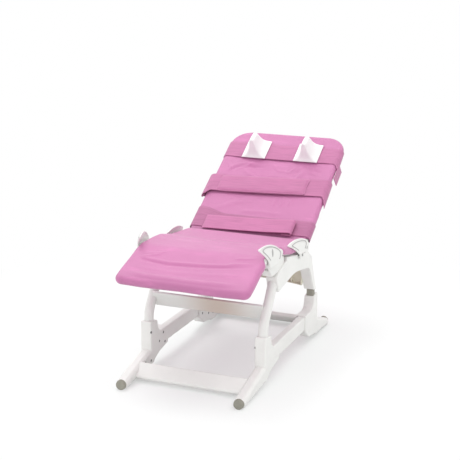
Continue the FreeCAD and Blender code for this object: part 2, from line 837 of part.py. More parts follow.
def base_rear_bar():
    """The ribbed arched plate between the rear legs."""
    half = side_x - unit_width / 2 - pin_gap
    low_side = rear_bar_bottom
    low_middle = rear_bar_bottom + rear_bar_rise
    arc = Part.Arc(vec(-half, rear_bar_y, low_side), vec(0, rear_bar_y, low_middle),
                   vec(half, rear_bar_y, low_side)).toShape()
    corners = [vec(half, rear_bar_y, low_side), vec(half, rear_bar_y, rear_bar_top),
               vec(-half, rear_bar_y, rear_bar_top), vec(-half, rear_bar_y, low_side)]
    face = Part.Face(Part.Wire([arc] + Part.makePolygon(corners).Edges))
    plate = face.extrude(vec(0, rear_bar_depth, 0))
    pockets = []
    pitch = (half * 2 - rear_bar_rib) / rear_bar_pockets
    inner = face.makeOffset2D(-rear_bar_rib)
    block = inner.extrude(vec(0, rear_bar_depth, 0))
    block.translate(vec(0, -rear_bar_skin, 0))
    for index in range(rear_bar_pockets):
        x = -half + rear_bar_rib + pitch * index
        strip = box((x, rear_bar_y - rear_bar_depth, 0),
                    (x + pitch - rear_bar_rib, rear_bar_y + rear_bar_depth * 2, knee_z))
        pockets.append(block.common(strip))
    return plate.cut(pockets)


# Hinged panels: built flat, with the run away from the hinge along Y and the fabric side up


def placed_calf(shape):
    """From the flat frame of the calf rest to its place in front of the knee hinge."""
    turned = shape.mirror(ORIGIN, ALONG_Y)
    turned.rotate(ORIGIN, ALONG_X, calf_angle)
    turned.translate(vec(0, knee_y, knee_z))
    return turned


def placed_back(shape):
    """From the flat frame of the backrest to its place behind the hip hinge."""
    turned = shape.copy()
    turned.rotate(ORIGIN, ALONG_X, back_angle)
    turned.translate(vec(0, hip_y, hip_z))
    return turned


def frame_wire(start, length, rise, bend):
    """Centreline of a panel's bent tube, down both sides and across its far end."""
    points = [vec(tube_x, start, rise), vec(tube_x, length, rise),
              vec(-tube_x, length, rise), vec(-tube_x, start, rise)]
    return rounded_wire(points, [0, bend, bend, 0], False)


def panel_cover(start, sleeve_start, length, rise, bend):
    """Fabric over a panel's frame, with its hem rolled round the tube."""
    half = notch_half_width
    far = length - (tube_x - half)
    points = [vec(half, start, rise + cover_inner), vec(half, far, rise + cover_inner),
              vec(-half, far, rise + cover_inner), vec(-half, start, rise + cover_inner)]
    outline = Part.Face(rounded_wire(points, [0, bend, bend, 0]))
    sheet = outline.extrude(vec(0, 0, cover_thickness))
    hem = tube(frame_wire(sleeve_start, length, rise, bend), cover_radius, cover_inner)
    return fused([sheet, hem])


def hinge_plate(neck, start, rise):
    """Eye, neck and spigot that carry one side of a panel."""
    half = eye_thickness / 2
    eye = rod(vec(hinge_x - half, 0, 0), vec(hinge_x + half, 0, 0), eye_radius)
    points = side_points(neck, hinge_x - half)
    arm = Part.Face(rounded_wire(points, [0] * len(points))).extrude(vec(eye_thickness, 0, 0))
    root = vec(tube_x, start - spigot_root, rise)
    spigot = rod(root, vec(tube_x, start + spigot_length, rise), tube_radius - tube_wall - spigot_gap)
    plate = fused([eye, arm, spigot])
    return plate.cut(rod(vec(hinge_x - eye_thickness, 0, 0), vec(hinge_x + eye_thickness, 0, 0),
                         bush_outer + pin_gap))


def band_ring(start, width, gap, thickness):
    """A strap that goes right round the backrest, over the fabric and under the tubes."""
    rings = []
    for distance in (gap + thickness, gap):
        radius = cover_radius + distance
        low = back_rise - radius
        block = box((-tube_x - radius, start, low), (tube_x + radius, start + width, low + radius * 2))
        corners = [edge for edge in block.Edges if abs(edge.tangentAt(edge.FirstParameter).y) > pin_gap]
        rings.append(block.makeFillet(radius - pin_gap, corners))
    return rings[0].cut(rings[1])


def chest_pad():
    """The padded part of the chest strap, on top of its band."""
    low = back_rise + cover_radius + chest_strap_looseness + strap_thickness + strap_gap
    pad = box((chest_pad_left, chest_strap_start + chest_pad_margin, low),
              (chest_pad_right, chest_strap_start + chest_strap_width - chest_pad_margin,
               low + chest_pad_thickness))
    top = [edge for edge in pad.Edges if edge.BoundBox.ZMin > low + pin_gap]
    return pad.makeFillet(chest_pad_thickness / 2, top)


def slanted(shape):
    """Turned a little on the fabric, as the chest strap lies."""
    turned = shape.copy()
    turned.rotate(vec(0, chest_strap_start + chest_strap_width / 2, 0), ALONG_Z, chest_strap_slant)
    return turned


def pelvic_belt():
    """The belt that stands off the fabric between two anchors."""
    low = back_rise + cover_radius + strap_gap * 2 + strap_thickness
    middle = low + pelvic_belt_lift
    half = pelvic_belt_half
    under = Part.Arc(vec(-half, pelvic_belt_start, low), vec(0, pelvic_belt_start, middle),
                     vec(half, pelvic_belt_start, low)).toShape()
    over = Part.Arc(vec(-half, pelvic_belt_start, low + pelvic_belt_thickness),
                    vec(0, pelvic_belt_start, middle + pelvic_belt_thickness),
                    vec(half, pelvic_belt_start, low + pelvic_belt_thickness)).toShape()
    ends = [Part.makeLine(vec(way * half, pelvic_belt_start, low),
                          vec(way * half, pelvic_belt_start, low + pelvic_belt_thickness)) for way in (-1, 1)]
    face = Part.Face(Part.Wire(Part.__sortEdges__([under, over] + ends)))
    return face.extrude(vec(0, pelvic_belt_width, 0))


def head_tail():
    """The loose end of the head strap, hanging at the right of the backrest."""
    x = tube_x + cover_radius + strap_gap + strap_thickness + rest_gap
    low = back_rise - tail_drop
    pairs = ((x, back_rise + tail_rise), (x + tail_thickness, back_rise + tail_rise),
             (x + tail_thickness + tail_lean, low), (x + tail_lean, low))
    points = [vec(across, tail_start, rise) for across, rise in pairs]
    return Part.Face(Part.makePolygon(points + points[:1])).extrude(vec(0, tail_width, 0))


def block_section(share):
    """One level of a head block: a rounded rectangle."""
    height, wide, long, shift = share
    half = block_width * wide / 2
    run = block_length * long / 2
    middle = block_start + block_length / 2 + block_length * shift
    z = back_rise + cover_radius + strap_gap * 2 + strap_thickness + block_height * height
    points = [vec(block_x - half, middle - run, z), vec(block_x + half, middle - run, z),
              vec(block_x + half, middle + run, z), vec(block_x - half, middle + run, z)]
    radius = min(half, run) * block_round_share * 2
    return rounded_wire(points, [radius] * len(points))


def head_block():
    """A cushion with a wide base and a ridge along the backrest."""
    return Part.makeLoft([block_section(share) for share in block_level_shares], True)


# Release levers


def pin_line(y_from, y_to, radius):
    """A cylinder on a lever's pin."""
    low, high = sorted((y_from, y_to))
    return rod(vec(lever_pin_x, low, 0), vec(lever_pin_x, high, 0), radius)


def lever(sheet_rows, place):
    """A curved sheet with a barrel on its pin and a fork behind it."""
    grid = [[vec(*point) for point in row] for row in sheet_rows]
    surface = Part.BSplineSurface()
    surface.interpolate(grid)
    sheet = surface.toShape().extrude(vec(-lever_thickness, 0, 0))
    rim = []
    edge_rows = [grid[-1], [row[0] for row in grid], [row[-1] for row in grid]]
    for row in edge_rows:
        curve = Part.BSplineCurve()
        curve.interpolate([point - vec(lever_thickness / 2, 0, 0) for point in row])
        rim.append(swept(Part.Wire(curve.toShape()), lever_rim_radius))
    for point in (grid[-1][0], grid[-1][-1], grid[0][0], grid[0][-1]):
        rim.append(Part.makeSphere(lever_rim_radius, point - vec(lever_thickness / 2, 0, 0)))
    barrel = pin_line(-lever_barrel_half, lever_barrel_half, lever_barrel_radius)
    web = box((lever_pin_x, -lever_barrel_half, 0), (lever_web_x, lever_barrel_half, lever_web_height))
    window = box((fork_x - overrun, lever_window[0], -lever_barrel_radius - wall),
                 (lever_web_x + wall, lever_window[1], fork_link_low))
    body = fused([barrel, web]).cut(window)
    fork = box((fork_x, -fork_half, fork_low), (fork_x + fork_thickness, fork_half, fork_high))
    link = box((fork_x, -fork_half, fork_link_low), (lever_web_x, fork_half, fork_high))
    slot = box((fork_x - wall, -fork_slot_half, fork_low - wall),
               (fork_x + fork_thickness + pin_gap, fork_slot_half, fork_slot_high))
    shape = fused([sheet, body, fork.cut(slot), link] + rim)
    ear_to = lever_barrel_half + lever_ear_gap * 2 + lever_ear
    rooms = [pin_line(-ear_to, ear_to, lever_pin_radius + pin_gap), pin_line(*lever_window, lever_spring_room)]
    rooms += [pin_line(way * lever_barrel_half, way * ear_to, lever_ear_room) for way in (-1, 1)]
    shape = shape.cut(rooms)
    shape.translate(vec(0, *place))
    return shape


def lever_pin(place):
    """The pin that a lever turns on."""
    half = lever_barrel_half + lever_ear_gap + lever_ear
    return rod(vec(lever_pin_x, place[0] - half, place[1]), vec(lever_pin_x, place[0] + half, place[1]),
               lever_pin_radius)


def lever_spring(place):
    """The coil round the pin that brings a lever back."""
    points = []
    for step in range(round(spring_turns * spring_steps) + 1):
        turn = 2 * math.pi * step / spring_steps
        points.append(vec(lever_pin_x + spring_radius * math.cos(turn),
                          place[0] + spring_from + spring_pitch * step / spring_steps,
                          place[1] + spring_radius * math.sin(turn)))
    curve = Part.BSplineCurve()
    curve.interpolate(points)
    return swept(Part.Wire(curve.toShape()), spring_wire)


def lever_ears(place, root_x):
    """The two ears that hold a lever's pin, standing on the arch's outer face."""
    ears = []
    for way in (-1, 1):
        near = way * (lever_barrel_half + lever_ear_gap)
        far = way * (lever_barrel_half + lever_ear_gap + lever_ear)
        low, high = sorted((near, far))
        foot = box((root_x - lever_ear_root, low, -lever_ear_radius), (lever_pin_x, high, lever_ear_radius))
        ear = foot.fuse(pin_line(low, high, lever_ear_radius))
        ear.translate(vec(0, *place))
        ears.append(ear)
    return ears


def pin_channel(place):
    half = lever_barrel_half + lever_ear_gap + lever_ear + overrun
    return rod(vec(lever_pin_x, place[0] - half, place[1]), vec(lever_pin_x, place[0] + half, place[1]),
               lever_pin_radius + pin_gap)


def stem_and_ball(start_x, y, z):
    stem = rod(vec(start_x, y, z), vec(ball_x, y, z), stem_radius)
    return [stem, Part.makeSphere(ball_radius, vec(ball_x, y, z))]


def knee_pad():
    """The friction pad that clamps the calf rest's hinge plate."""
    y, z = knee_lever_place[0], knee_lever_place[1] + ball_rise
    disc = rod(vec(pad_face_x, y, z), vec(knee_pad_outer_x, y, z), pad_radius)
    return fused([disc] + stem_and_ball(knee_pad_outer_x, y, z))


def hip_pad():
    """The friction pad that clamps the backrest's hinge plate, on a bar inside the arch."""
    y, z = hip_lever_place[0], hip_lever_place[1] + ball_rise
    disc = rod(vec(pad_face_x, hip_pad_y, z), vec(hip_pad_bar_x, hip_pad_y, z), pad_radius)
    bar = box((hip_pad_disc_x, y - hip_pad_lead, z - pad_radius), (hip_pad_bar_x, hip_pad_y, z + pad_radius))
    return fused([disc, bar] + stem_and_ball(hip_pad_bar_x, y, z))


def knee_pad_hole():
    y, z = knee_lever_place[0], knee_lever_place[1] + ball_rise
    return rod(vec(hinge_x, y, z), vec(side_x + unit_width, y, z), pad_radius + pin_gap)


def hip_pad_room():
    """The pocket in the hip hub that the pad's bar slides in, and the window behind the lever."""
    y, z = hip_lever_place[0], hip_lever_place[1] + ball_rise
    pocket = box((hip_pad_disc_x - pad_travel, y - hip_pad_lead - pad_gap, z - pad_radius - pad_gap),
                 (hip_pad_bar_x + pad_travel, hip_pad_y + pad_radius + pad_gap, z + pad_radius + pad_gap))
    face_x = side_x + unit_width / 2
    window = box((face_x - wall * 2, hip_lever_place[0] - lever_room_half, hip_lever_place[1] - lever_room_low),
                 (face_x + overrun, hip_lever_place[0] + lever_room_half, hip_lever_place[1] + lever_room_high))
    return [pocket, window]


def arch_halves():
    """The two halves of the right side arch."""
    outside = arch_outside(0)
    hollow = arch_outside(wall)
    solid_parts = [hub_block(knee_y, knee_z), hub_block(hip_y, hip_z)]
    solid_parts += [boss(y, z) for y, z in arch_screw_places]
    leg_sleeve = swept(leg_wire(overrun), leg_radius + wall)
    rail_bed = swept(seat_rail_wire(), cover_room + wall / 2)
    hollow = hollow.cut(solid_parts + [leg_sleeve, rail_bed])
    ears = lever_ears(knee_lever_place, side_x + unit_width / 2 - lobe_recess)
    ears += lever_ears(hip_lever_place, side_x + unit_width / 2)
    rooms = [hollow, swept(leg_wire(overrun), leg_radius + pin_gap), swept(seat_rail_wire(), cover_room)]
    rooms += [pin_hole(knee_y, knee_z), pin_hole(hip_y, hip_z)]
    rooms += [pin_head_room(knee_y, knee_z), pin_head_room(hip_y, hip_z)]
    rooms += [swing_fan(knee_y, knee_z, *knee_fan, fan_reach), swing_fan(hip_y, hip_z, *hip_fan, fan_reach)]
    rooms += [rear_foot(pin_gap), pin_channel(knee_lever_place), pin_channel(hip_lever_place)]
    rooms += [knee_pad_hole()] + hip_pad_room()
    rooms += [screw_hole(y, z) for y, z in arch_screw_places]
    solid = outside.fuse(ears).cut(rooms)
    return halves(solid)


def make_base():
    """Everything of the chair that stays with its side arches."""
    pieces = {}
    for side, shell in zip(("inner", "outer"), arch_halves()):
        pieces[f"arch_{side}_shell_right"] = shell
        pieces[f"arch_{side}_shell_left"] = mirrored(shell)
    leg = tube(leg_wire(), leg_radius, leg_radius - leg_wall)
    rail = tube(seat_rail_wire(), tube_radius, tube_radius - tube_wall)
    pieces["front_leg_right"] = leg
    pieces["front_leg_left"] = mirrored(leg)
    pieces["seat_rail_right"] = rail
    pieces["seat_rail_left"] = mirrored(rail)
    pieces["seat_cover"] = seat_cover()
    pieces["base_front_crossbar"] = base_front_bar()
    pieces["base_rear_crossbar"] = base_rear_bar()
    pairs = {
        "front_leg_end_caps": [leg_end_cap()],
        "rear_leg_feet": [rear_foot(0)],
        "arch_screws": [screw(y, z) for y, z in arch_screw_places],
        "knee_pivot_pins": [hinge_pin(knee_y, knee_z, side_x + unit_width / 2 - lobe_recess)],
        "hip_pivot_pins": [hinge_pin(hip_y, hip_z, side_x + unit_width / 2)],
        "hinge_bushes": [hinge_bush(knee_y, knee_z), hinge_bush(hip_y, hip_z)],
        "lever_pins": [lever_pin(knee_lever_place), lever_pin(hip_lever_place)],
        "lever_springs": [lever_spring(knee_lever_place), lever_spring(hip_lever_place)],
    }
    for name, solids in pairs.items():
        pieces[name] = Part.Compound(solids + [mirrored(solid) for solid in solids])
    return pieces


def make_panels():
    """Calf rest, backrest and their straps and cushions."""
    pieces = {}
    calf_tube = tube(frame_wire(calf_tube_start, calf_length, calf_rise, calf_bend),
                     tube_radius, tube_radius - tube_wall)
    calf_plate = hinge_plate(calf_neck, calf_tube_start, calf_rise)
    calf_fabric = panel_cover(calf_cover_start, calf_sleeve_start, calf_length, calf_rise, calf_bend)
    pieces["calf_frame"] = placed_calf(calf_tube)
    pieces["calf_hinge_plates"] = placed_calf(Part.Compound([calf_plate, mirrored(calf_plate)]))
    pieces["calf_cover"] = placed_calf(calf_fabric)
    back_tube = tube(frame_wire(back_tube_start, back_length, back_rise, back_bend),
                     tube_radius, tube_radius - tube_wall)
    back_plate = hinge_plate(back_neck, back_tube_start, back_rise)
    brace = rod(vec(-tube_x, back_brace_place, back_rise), vec(tube_x, back_brace_place, back_rise),
                back_brace_radius)
    brace = brace.cut([rod(vec(way * tube_x, 0, back_rise), vec(way * tube_x, back_length, back_rise),
                           cover_room) for way in (-1, 1)])
    fabric = panel_cover(back_cover_start, back_sleeve_start, back_length, back_rise, back_bend)
    block = head_block()
    flat = {
        "back_frame": back_tube,
        "back_hinge_plates": Part.Compound([back_plate, mirrored(back_plate)]),
        "back_cross_tube": brace,
        "back_cover": fabric,
        "head_strap": band_ring(head_strap_start, head_strap_width, strap_gap, strap_thickness),
        "head_strap_tail": head_tail(),
        "chest_strap": slanted(band_ring(chest_strap_start, chest_strap_width, chest_strap_looseness,
                                         strap_thickness)),
        "chest_strap_pad": slanted(chest_pad()),
        "pelvic_band": band_ring(pelvic_band_start, pelvic_band_width, strap_gap, strap_thickness),
        "pelvic_belt": pelvic_belt(),
        "head_block_right": block,
        "head_block_left": mirrored(block),
    }
    for name, shape in flat.items():
        pieces[name] = placed_back(shape)
    return pieces


def make_levers():
    """The four release levers and the pads that they pull."""
    pieces = {}
    shapes = {
        "knee_lever": lever(knee_sheet, knee_lever_place),
        "hip_lever": lever(hip_sheet, hip_lever_place),
        "knee_pad": knee_pad(),
        "hip_pad": hip_pad(),
    }
    for name, shape in shapes.items():
        pieces[f"{name}_right"] = shape
        pieces[f"{name}_left"] = mirrored(shape)
    return pieces


def solids_of(shape):
    """Only the closed solids of a shape, as one export."""
    solids = shape.Solids
    return solids[0] if len(solids) == 1 else Part.Compound(solids)


def main():
    os.makedirs("parts", exist_ok=True)
    pieces = {}
    for made in (make_stand(), make_base(), make_panels(), make_levers()):
        pieces.update(made)
    bounds = Part.Compound(list(pieces.values())).optimalBoundingBox(False)
    shift = vec(0, -bounds.Center.y, 0)
    for node, shape in pieces.items():
        moved = solids_of(shape)
        moved.translate(shift)
        if not moved.isValid():
            raise ValueError(f"{node} is not a valid solid")
        moved.exportStep(f"parts/{node}.step")
    print("nodes", len(pieces), "shift", round(shift.y, decimals))
    print("size", [round(value, decimals) for value in (bounds.XLength, bounds.YLength, bounds.ZLength)])


main()
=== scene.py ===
"""Looks of a child bath chair: mesh sling, straps, head cushions, plastics, floor, light and camera."""

import json
from collections import namedtuple
from math import ceil, copysign, cos, exp, hypot, pi, radians, sin, tan

import bpy
from bpy.props import FloatProperty, FloatVectorProperty, IntProperty, PointerProperty
from bpy.types import Operator, Panel, PropertyGroup
from mathutils import Matrix, Vector


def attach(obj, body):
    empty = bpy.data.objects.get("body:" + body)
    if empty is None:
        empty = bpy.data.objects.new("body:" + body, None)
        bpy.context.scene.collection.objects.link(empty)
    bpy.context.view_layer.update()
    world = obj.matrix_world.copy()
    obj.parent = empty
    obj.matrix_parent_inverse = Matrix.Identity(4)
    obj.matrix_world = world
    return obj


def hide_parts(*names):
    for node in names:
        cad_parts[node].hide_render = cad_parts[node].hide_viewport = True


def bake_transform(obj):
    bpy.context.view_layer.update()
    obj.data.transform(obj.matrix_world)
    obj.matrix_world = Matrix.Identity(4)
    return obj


bl_info = {
    "name": "Child bath chair",
    "version": (1, 0, 0),
    "blender": (4, 5, 0),
    "location": "3D View > Sidebar > Bath chair",
    "description": "Builds the cloth, cushions, finishes and studio of a reclining bath chair",
    "category": "Object",
}

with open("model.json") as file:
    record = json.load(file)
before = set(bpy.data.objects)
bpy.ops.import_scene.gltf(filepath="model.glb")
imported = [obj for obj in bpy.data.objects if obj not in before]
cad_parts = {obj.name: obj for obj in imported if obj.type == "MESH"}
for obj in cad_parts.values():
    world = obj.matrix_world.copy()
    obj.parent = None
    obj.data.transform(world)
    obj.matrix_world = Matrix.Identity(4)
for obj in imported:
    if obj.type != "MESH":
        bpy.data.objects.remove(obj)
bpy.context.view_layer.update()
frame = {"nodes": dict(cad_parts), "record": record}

# Places are in millimetres from the front sockets. The record's knee hinge gives the offset, in metres.
KNEE_PLACE = (42.0, 374.0)
HIP_PLACE = (354.0, 345.0)
knee_joint = next(joint for joint in frame["record"]["behaviour"]["joints"] if joint["name"] == "calf_tilt")
FORWARD = Vector(knee_joint["pos_m"]).y - KNEE_PLACE[0] / 1000


def place(x, y, z):
    """A point given in millimetres from the front sockets."""
    return Vector((x / 1000, y / 1000 + FORWARD, z / 1000))


# Shader maths


class Signal:
    """A socket whose number can be used in ordinary Python maths."""

    def __init__(self, wiring, socket):
        self.wiring = wiring
        self.socket = socket

    def maths(self, operation, *values):
        return self.wiring.node("ShaderNodeMath", {"operation": operation}, self, *values)

    def __add__(self, other):
        return self.maths("ADD", other)

    __radd__ = __add__

    def __sub__(self, other):
        return self.maths("SUBTRACT", other)

    def __rsub__(self, other):
        return self.wiring.node("ShaderNodeMath", {"operation": "SUBTRACT"}, other, self)

    def __mul__(self, other):
        return self.maths("MULTIPLY", other)

    def between(self, low, high):
        """0 below low, 1 above high, with a soft bend between."""
        return self.wiring.node("ShaderNodeMapRange", {"clamp": True, "interpolation_type": "SMOOTHSTEP"},
                                Value=self, **{"From Min": low, "From Max": high})


class Wiring:
    """The node tree of one material."""

    def __init__(self, name):
        self.material = bpy.data.materials.new(name)
        self.material.use_nodes = True
        self.tree = self.material.node_tree
        self.shader = next(n for n in self.tree.nodes if n.type == "BSDF_PRINCIPLED")

    def link(self, value, socket):
        if isinstance(value, Signal):
            self.tree.links.new(value.socket, socket)
        else:
            socket.default_value = value

    def node(self, kind, settings=None, *values, out=0, **named):
        """Adds a node: its settings first, then its sockets by order or by name; gives one of its outputs."""
        made = self.tree.nodes.new(kind)
        for key, value in (settings or {}).items():
            setattr(made, key, value)
        for index, value in enumerate(values):
            self.link(value, made.inputs[index])
        for key, value in named.items():
            self.link(value, made.inputs[key])
        return Signal(self, made.outputs[out])

    def colour_mix(self, factor, first, second):
        made = self.tree.nodes.new("ShaderNodeMix")
        made.data_type = "RGBA"
        self.link(factor, made.inputs[0])
        self.link(first, made.inputs[6])
        self.link(second, made.inputs[7])
        return Signal(self, made.outputs[2])

    def toned(self, factor, colour, tone, below=None):
        """Lays a darker or lighter tone of a colour over what is below: the colour itself unless given."""
        return self.colour_mix(factor, below or solid(colour), solid(shade(colour, tone)))

    def set(self, **values):
        """Sets the shader's sockets; keys use underscores for spaces."""
        for key, value in values.items():
            self.link(value, self.shader.inputs[key.replace("_", " ")])

    def bump(self, height, strength, distance):
        self.set(Normal=self.node("ShaderNodeBump", Height=height, Strength=strength, Distance=distance))

    def noise(self, where, scale, detail=2.0, roughness=0.5):
        return self.node("ShaderNodeTexNoise", Vector=where, Scale=scale, Detail=detail, Roughness=roughness)

    def here(self):
        """The point on the surface in the object's own metres."""
        return self.node("ShaderNodeTexCoord", out=3)

    def cloth_place(self):
        """The point on a piece of cloth, across and along it, in metres."""
        return self.node("ShaderNodeUVMap", {"uv_map": "cloth"})

    def parts(self, vector):
        split = self.tree.nodes.new("ShaderNodeSeparateXYZ")
        self.link(vector, split.inputs[0])
        return [Signal(self, socket) for socket in split.outputs]


def solid(colour):
    """A colour with full alpha, as a shader's socket takes it."""
    return (colour[0], colour[1], colour[2], 1.0)


def shade(colour, factor):
    """A colour made darker, or lighter where the factor is over 1."""
    return tuple(min(1.0, channel * factor) for channel in colour[:3])


# Finishes


def moulded_plastic(name, colour, roughness, grain):
    """Moulded plastic: fine grain, slow waves, and a little dullness where it has been handled."""
    wiring = Wiring(name)
    here = wiring.here()
    slow = wiring.noise(here, 9.0, 3.0)
    fine = wiring.noise(here, 900.0, 2.0)
    rub = wiring.noise(here, 38.0, 5.0, 0.62).between(0.48, 0.72)
    tint = wiring.toned(slow.between(0.35, 0.65), colour, 0.965)
    wiring.set(Base_Color=wiring.toned(rub * 0.3, colour, 0.93, tint),
               Roughness=roughness + rub * 0.1 + fine * 0.05, Specular_IOR_Level=0.45)
    wiring.bump(fine * 0.5 + slow * 0.6, grain, 0.0004)
    return wiring.material


def powder_coat(name, colour, painted_warm_shade=None):
    """White powder coat on metal: faint orange peel, a soft gloss and, if given, a painted warm shade in the
    middle.
    """
    wiring = Wiring(name)
    here = wiring.here()
    peel = wiring.noise(here, 420.0, 2.0)
    slow = wiring.noise(here, 14.0, 3.0)
    tint = wiring.toned(slow.between(0.3, 0.7), colour, 0.95)
    if painted_warm_shade:
        # Painted shade: a warm brown fading out from the middle across, for the seat's shadow and the pink
        # cloth's bounce light
        across = (wiring.parts(here)[0] - 0.03).maths("ABSOLUTE")
        tint = wiring.colour_mix((1.0 - across.between(0.0, 0.15)) * 0.8, tint, solid(painted_warm_shade))
    wiring.set(Base_Color=tint, Roughness=0.3 + slow * 0.12, Coat_Weight=0.25, Coat_Roughness=0.2)
    wiring.bump(peel, 0.12, 0.0003)
    return wiring.material


def metal(name, colour, roughness, brush):
    """Bare metal with fine brush marks and faint stains."""
    wiring = Wiring(name)
    here = wiring.here()
    grain = wiring.noise(here, brush, 4.0, 0.6)
    stain = wiring.noise(here, 60.0, 3.0).between(0.45, 0.75)
    wiring.set(Base_Color=wiring.toned(stain * 0.5, colour, 0.8))
    wiring.set(Metallic=1.0, Roughness=roughness + grain * 0.18)
    wiring.bump(grain, 0.1, 0.0002)
    return wiring.material


def rubber(name, colour):
    """Dull rubber, scuffed and a little dusty."""
    wiring = Wiring(name)
    here = wiring.here()
    scuff = wiring.noise(here, 120.0, 5.0, 0.6)
    dust = wiring.noise(here, 30.0, 3.0).between(0.45, 0.7)
    wiring.set(Base_Color=wiring.toned(dust * 0.6, colour, 1.25))
    wiring.set(Roughness=0.72 + scuff * 0.15, Specular_IOR_Level=0.3)
    wiring.bump(scuff, 0.25, 0.0004)
    return wiring.material


def mesh_cloth(name, colour, dark, pitch, painted_shade_stretch):
    """Open woven mesh: rows of small holes between crossing yarns; painted shade darkens it along the stretch
    given.
    """
    wiring = Wiring(name)
    across, along, _ = wiring.parts(wiring.cloth_place())
    turn = 2 * pi / pitch
    weave_x = (across * turn).maths("SINE")
    weave_y = (along * turn).maths("SINE")
    hole = (weave_x * weave_y).between(0.35, 0.95)
    yarn = weave_x * 0.5 + weave_y * 0.5
    here = wiring.here()
    slow = wiring.noise(here, 7.0, 3.0).between(0.3, 0.7)
    thread = wiring.noise(here, 500.0, 2.0)
    tint = wiring.toned(slow, colour, 0.95)
    # Painted shade: the cloth is made darker over the given stretch along it, where it lies in shade
    tint = wiring.toned(along.between(*painted_shade_stretch), colour, 0.76, tint)
    tint = wiring.colour_mix(hole * 0.55, tint, solid(dark))
    drawn_out = wiring.node("ShaderNodeCombineXYZ", None, across * 7.0, along * 26.0, 0.0)
    sheen = wiring.noise(drawn_out, 1.0, 4.0, 0.6)
    tint = wiring.toned(sheen.between(0.54, 0.72) * 0.22, colour, 1.5, tint)
    wiring.set(Base_Color=wiring.toned(thread.between(0.4, 0.8) * 0.25, colour, 1.1, tint))
    wiring.set(Roughness=0.5 - hole * 0.1 + thread * 0.1, Specular_IOR_Level=0.6,
               Sheen_Weight=0.25, Sheen_Roughness=0.4)
    wiring.bump(yarn - hole * 0.8 + thread * 0.2, 0.35, 0.0005)
    return wiring.material


def webbing(name, colour, pitch, width):
    """Ribbed webbing of a given width: fine ribs along the strap and a row of stitches near each edge."""
    stitch_pitch = 0.004
    wiring = Wiring(name)
    across, along, _ = wiring.parts(wiring.cloth_place())
    turn = 2 * pi / pitch
    rib = (across * turn).maths("SINE") * 0.5 + 0.5
    twill = ((across + along * 2.0) * (turn * 0.5)).maths("SINE") * 0.5 + 0.5
    inward = across.maths("MINIMUM", width - across)
    border = (inward - 0.005).maths("ABSOLUTE")
    dash = (along * (2 * pi / stitch_pitch)).maths("SINE").between(-0.5, 0.1)
    stitch = (1.0 - border.between(0.0004, 0.0011)) * dash
    hem = 1.0 - inward.between(0.004, 0.006)
    here = wiring.here()
    slow = wiring.noise(here, 16.0, 3.0).between(0.3, 0.7)
    drawn_out = wiring.node("ShaderNodeCombineXYZ", None, across * 240.0, along * 14.0, 0.0)
    streak = wiring.noise(drawn_out, 1.0, 3.0)
    tint = wiring.toned(slow, colour, 0.93)
    tint = wiring.toned(rib * 0.34 + streak.between(0.42, 0.72) * 0.6, colour, 0.76, tint)
    tint = wiring.toned(stitch * 0.7, colour, 1.25, tint)
    wiring.set(Base_Color=tint, Roughness=0.6 + twill * 0.12, Sheen_Weight=0.3, Sheen_Roughness=0.45)
    wiring.bump(rib * 0.6 + twill * 0.3 + streak * 0.5 + stitch * 0.8 + hem * 0.6, 0.55, 0.0008)
    return wiring.material


def coated_cloth(name, colour):
    """Smooth coated cloth stretched over foam."""
    wiring = Wiring(name)
    here = wiring.here()
    slow = wiring.noise(here, 22.0, 3.0).between(0.3, 0.7)
    fine = wiring.noise(here, 700.0, 2.0)
    wiring.set(Base_Color=wiring.toned(slow, colour, 0.95))
    wiring.set(Roughness=0.5 + fine * 0.12, Sheen_Weight=0.2)
    wiring.bump(fine + slow * 0.6, 0.18, 0.0005)
    return wiring.material


# Mesh making


def add_object(name, data):
    """Puts a mesh, lamp or camera into the scene."""
    made = bpy.data.objects.new(name, data)
    bpy.context.scene.collection.objects.link(made)
    return made


def mesh_piece(name, points, faces, cloth=None, material=None):
    """A mesh object from points, faces and, where given, a cloth place for each point."""
    mesh = bpy.data.meshes.new(name)
    mesh.from_pydata([tuple(point) for point in points], [], faces)
    mesh.update()
    if cloth:
        layer = mesh.uv_layers.new(name="cloth")
        for loop in mesh.loops:
            layer.data[loop.index].uv = cloth[loop.vertex_index]
    for polygon in mesh.polygons:
        polygon.use_smooth = True
    if material:
        mesh.materials.append(material)
    return add_object(name, mesh)


def add_modifier(piece, kind, **settings):
    modifier = piece.modifiers.new(kind.title(), kind)
    for key, value in settings.items():
        setattr(modifier, key, value)
    return modifier


def grid_faces(rows, columns, closed=False):
    """Quads between the rows of a grid; closed joins the last column to the first."""
    faces = []
    span = columns if closed else columns - 1
    for row in range(rows - 1):
        for column in range(span):
            following = (column + 1) % columns
            faces.append((row * columns + column, row * columns + following,
                          (row + 1) * columns + following, (row + 1) * columns + column))
    return faces


def rounded_path(points, radii, step):
    """Points along straight runs with arcs at the corners, about a step apart."""
    corners = []
    last = len(points) - 1
    for index, point in enumerate(points):
        if index in (0, last) or not radii[index]:
            corners.append([point])
            continue
        back = (points[index - 1] - point).normalized()
        ahead = (points[index + 1] - point).normalized()
        half = back.angle(ahead) / 2
        radius = radii[index]
        centre = point + (back + ahead).normalized() * (radius / sin(half))
        start = point + back * (radius / tan(half))
        end = point + ahead * (radius / tan(half))
        sweep = pi - 2 * half
        count = max(2, ceil(sweep * radius / step))
        axis = (start - centre).cross(end - centre).normalized()
        corners.append([centre + Matrix.Rotation(sweep * k / count, 3, axis) @ (start - centre)
                        for k in range(count + 1)])
    path = []
    for index, group in enumerate(corners):
        if path:
            gap = group[0] - path[-1]
            count = max(1, round(gap.length / step))
            path += [path[-1] + gap * (k / count) for k in range(1, count)]
        path += group
    return path


def smooth(value, low, high):
    """0 below low, 1 above high, with an even bend between."""
    share = min(1.0, max(0.0, (value - low) / (high - low)))
    return share * share * (3 - 2 * share)


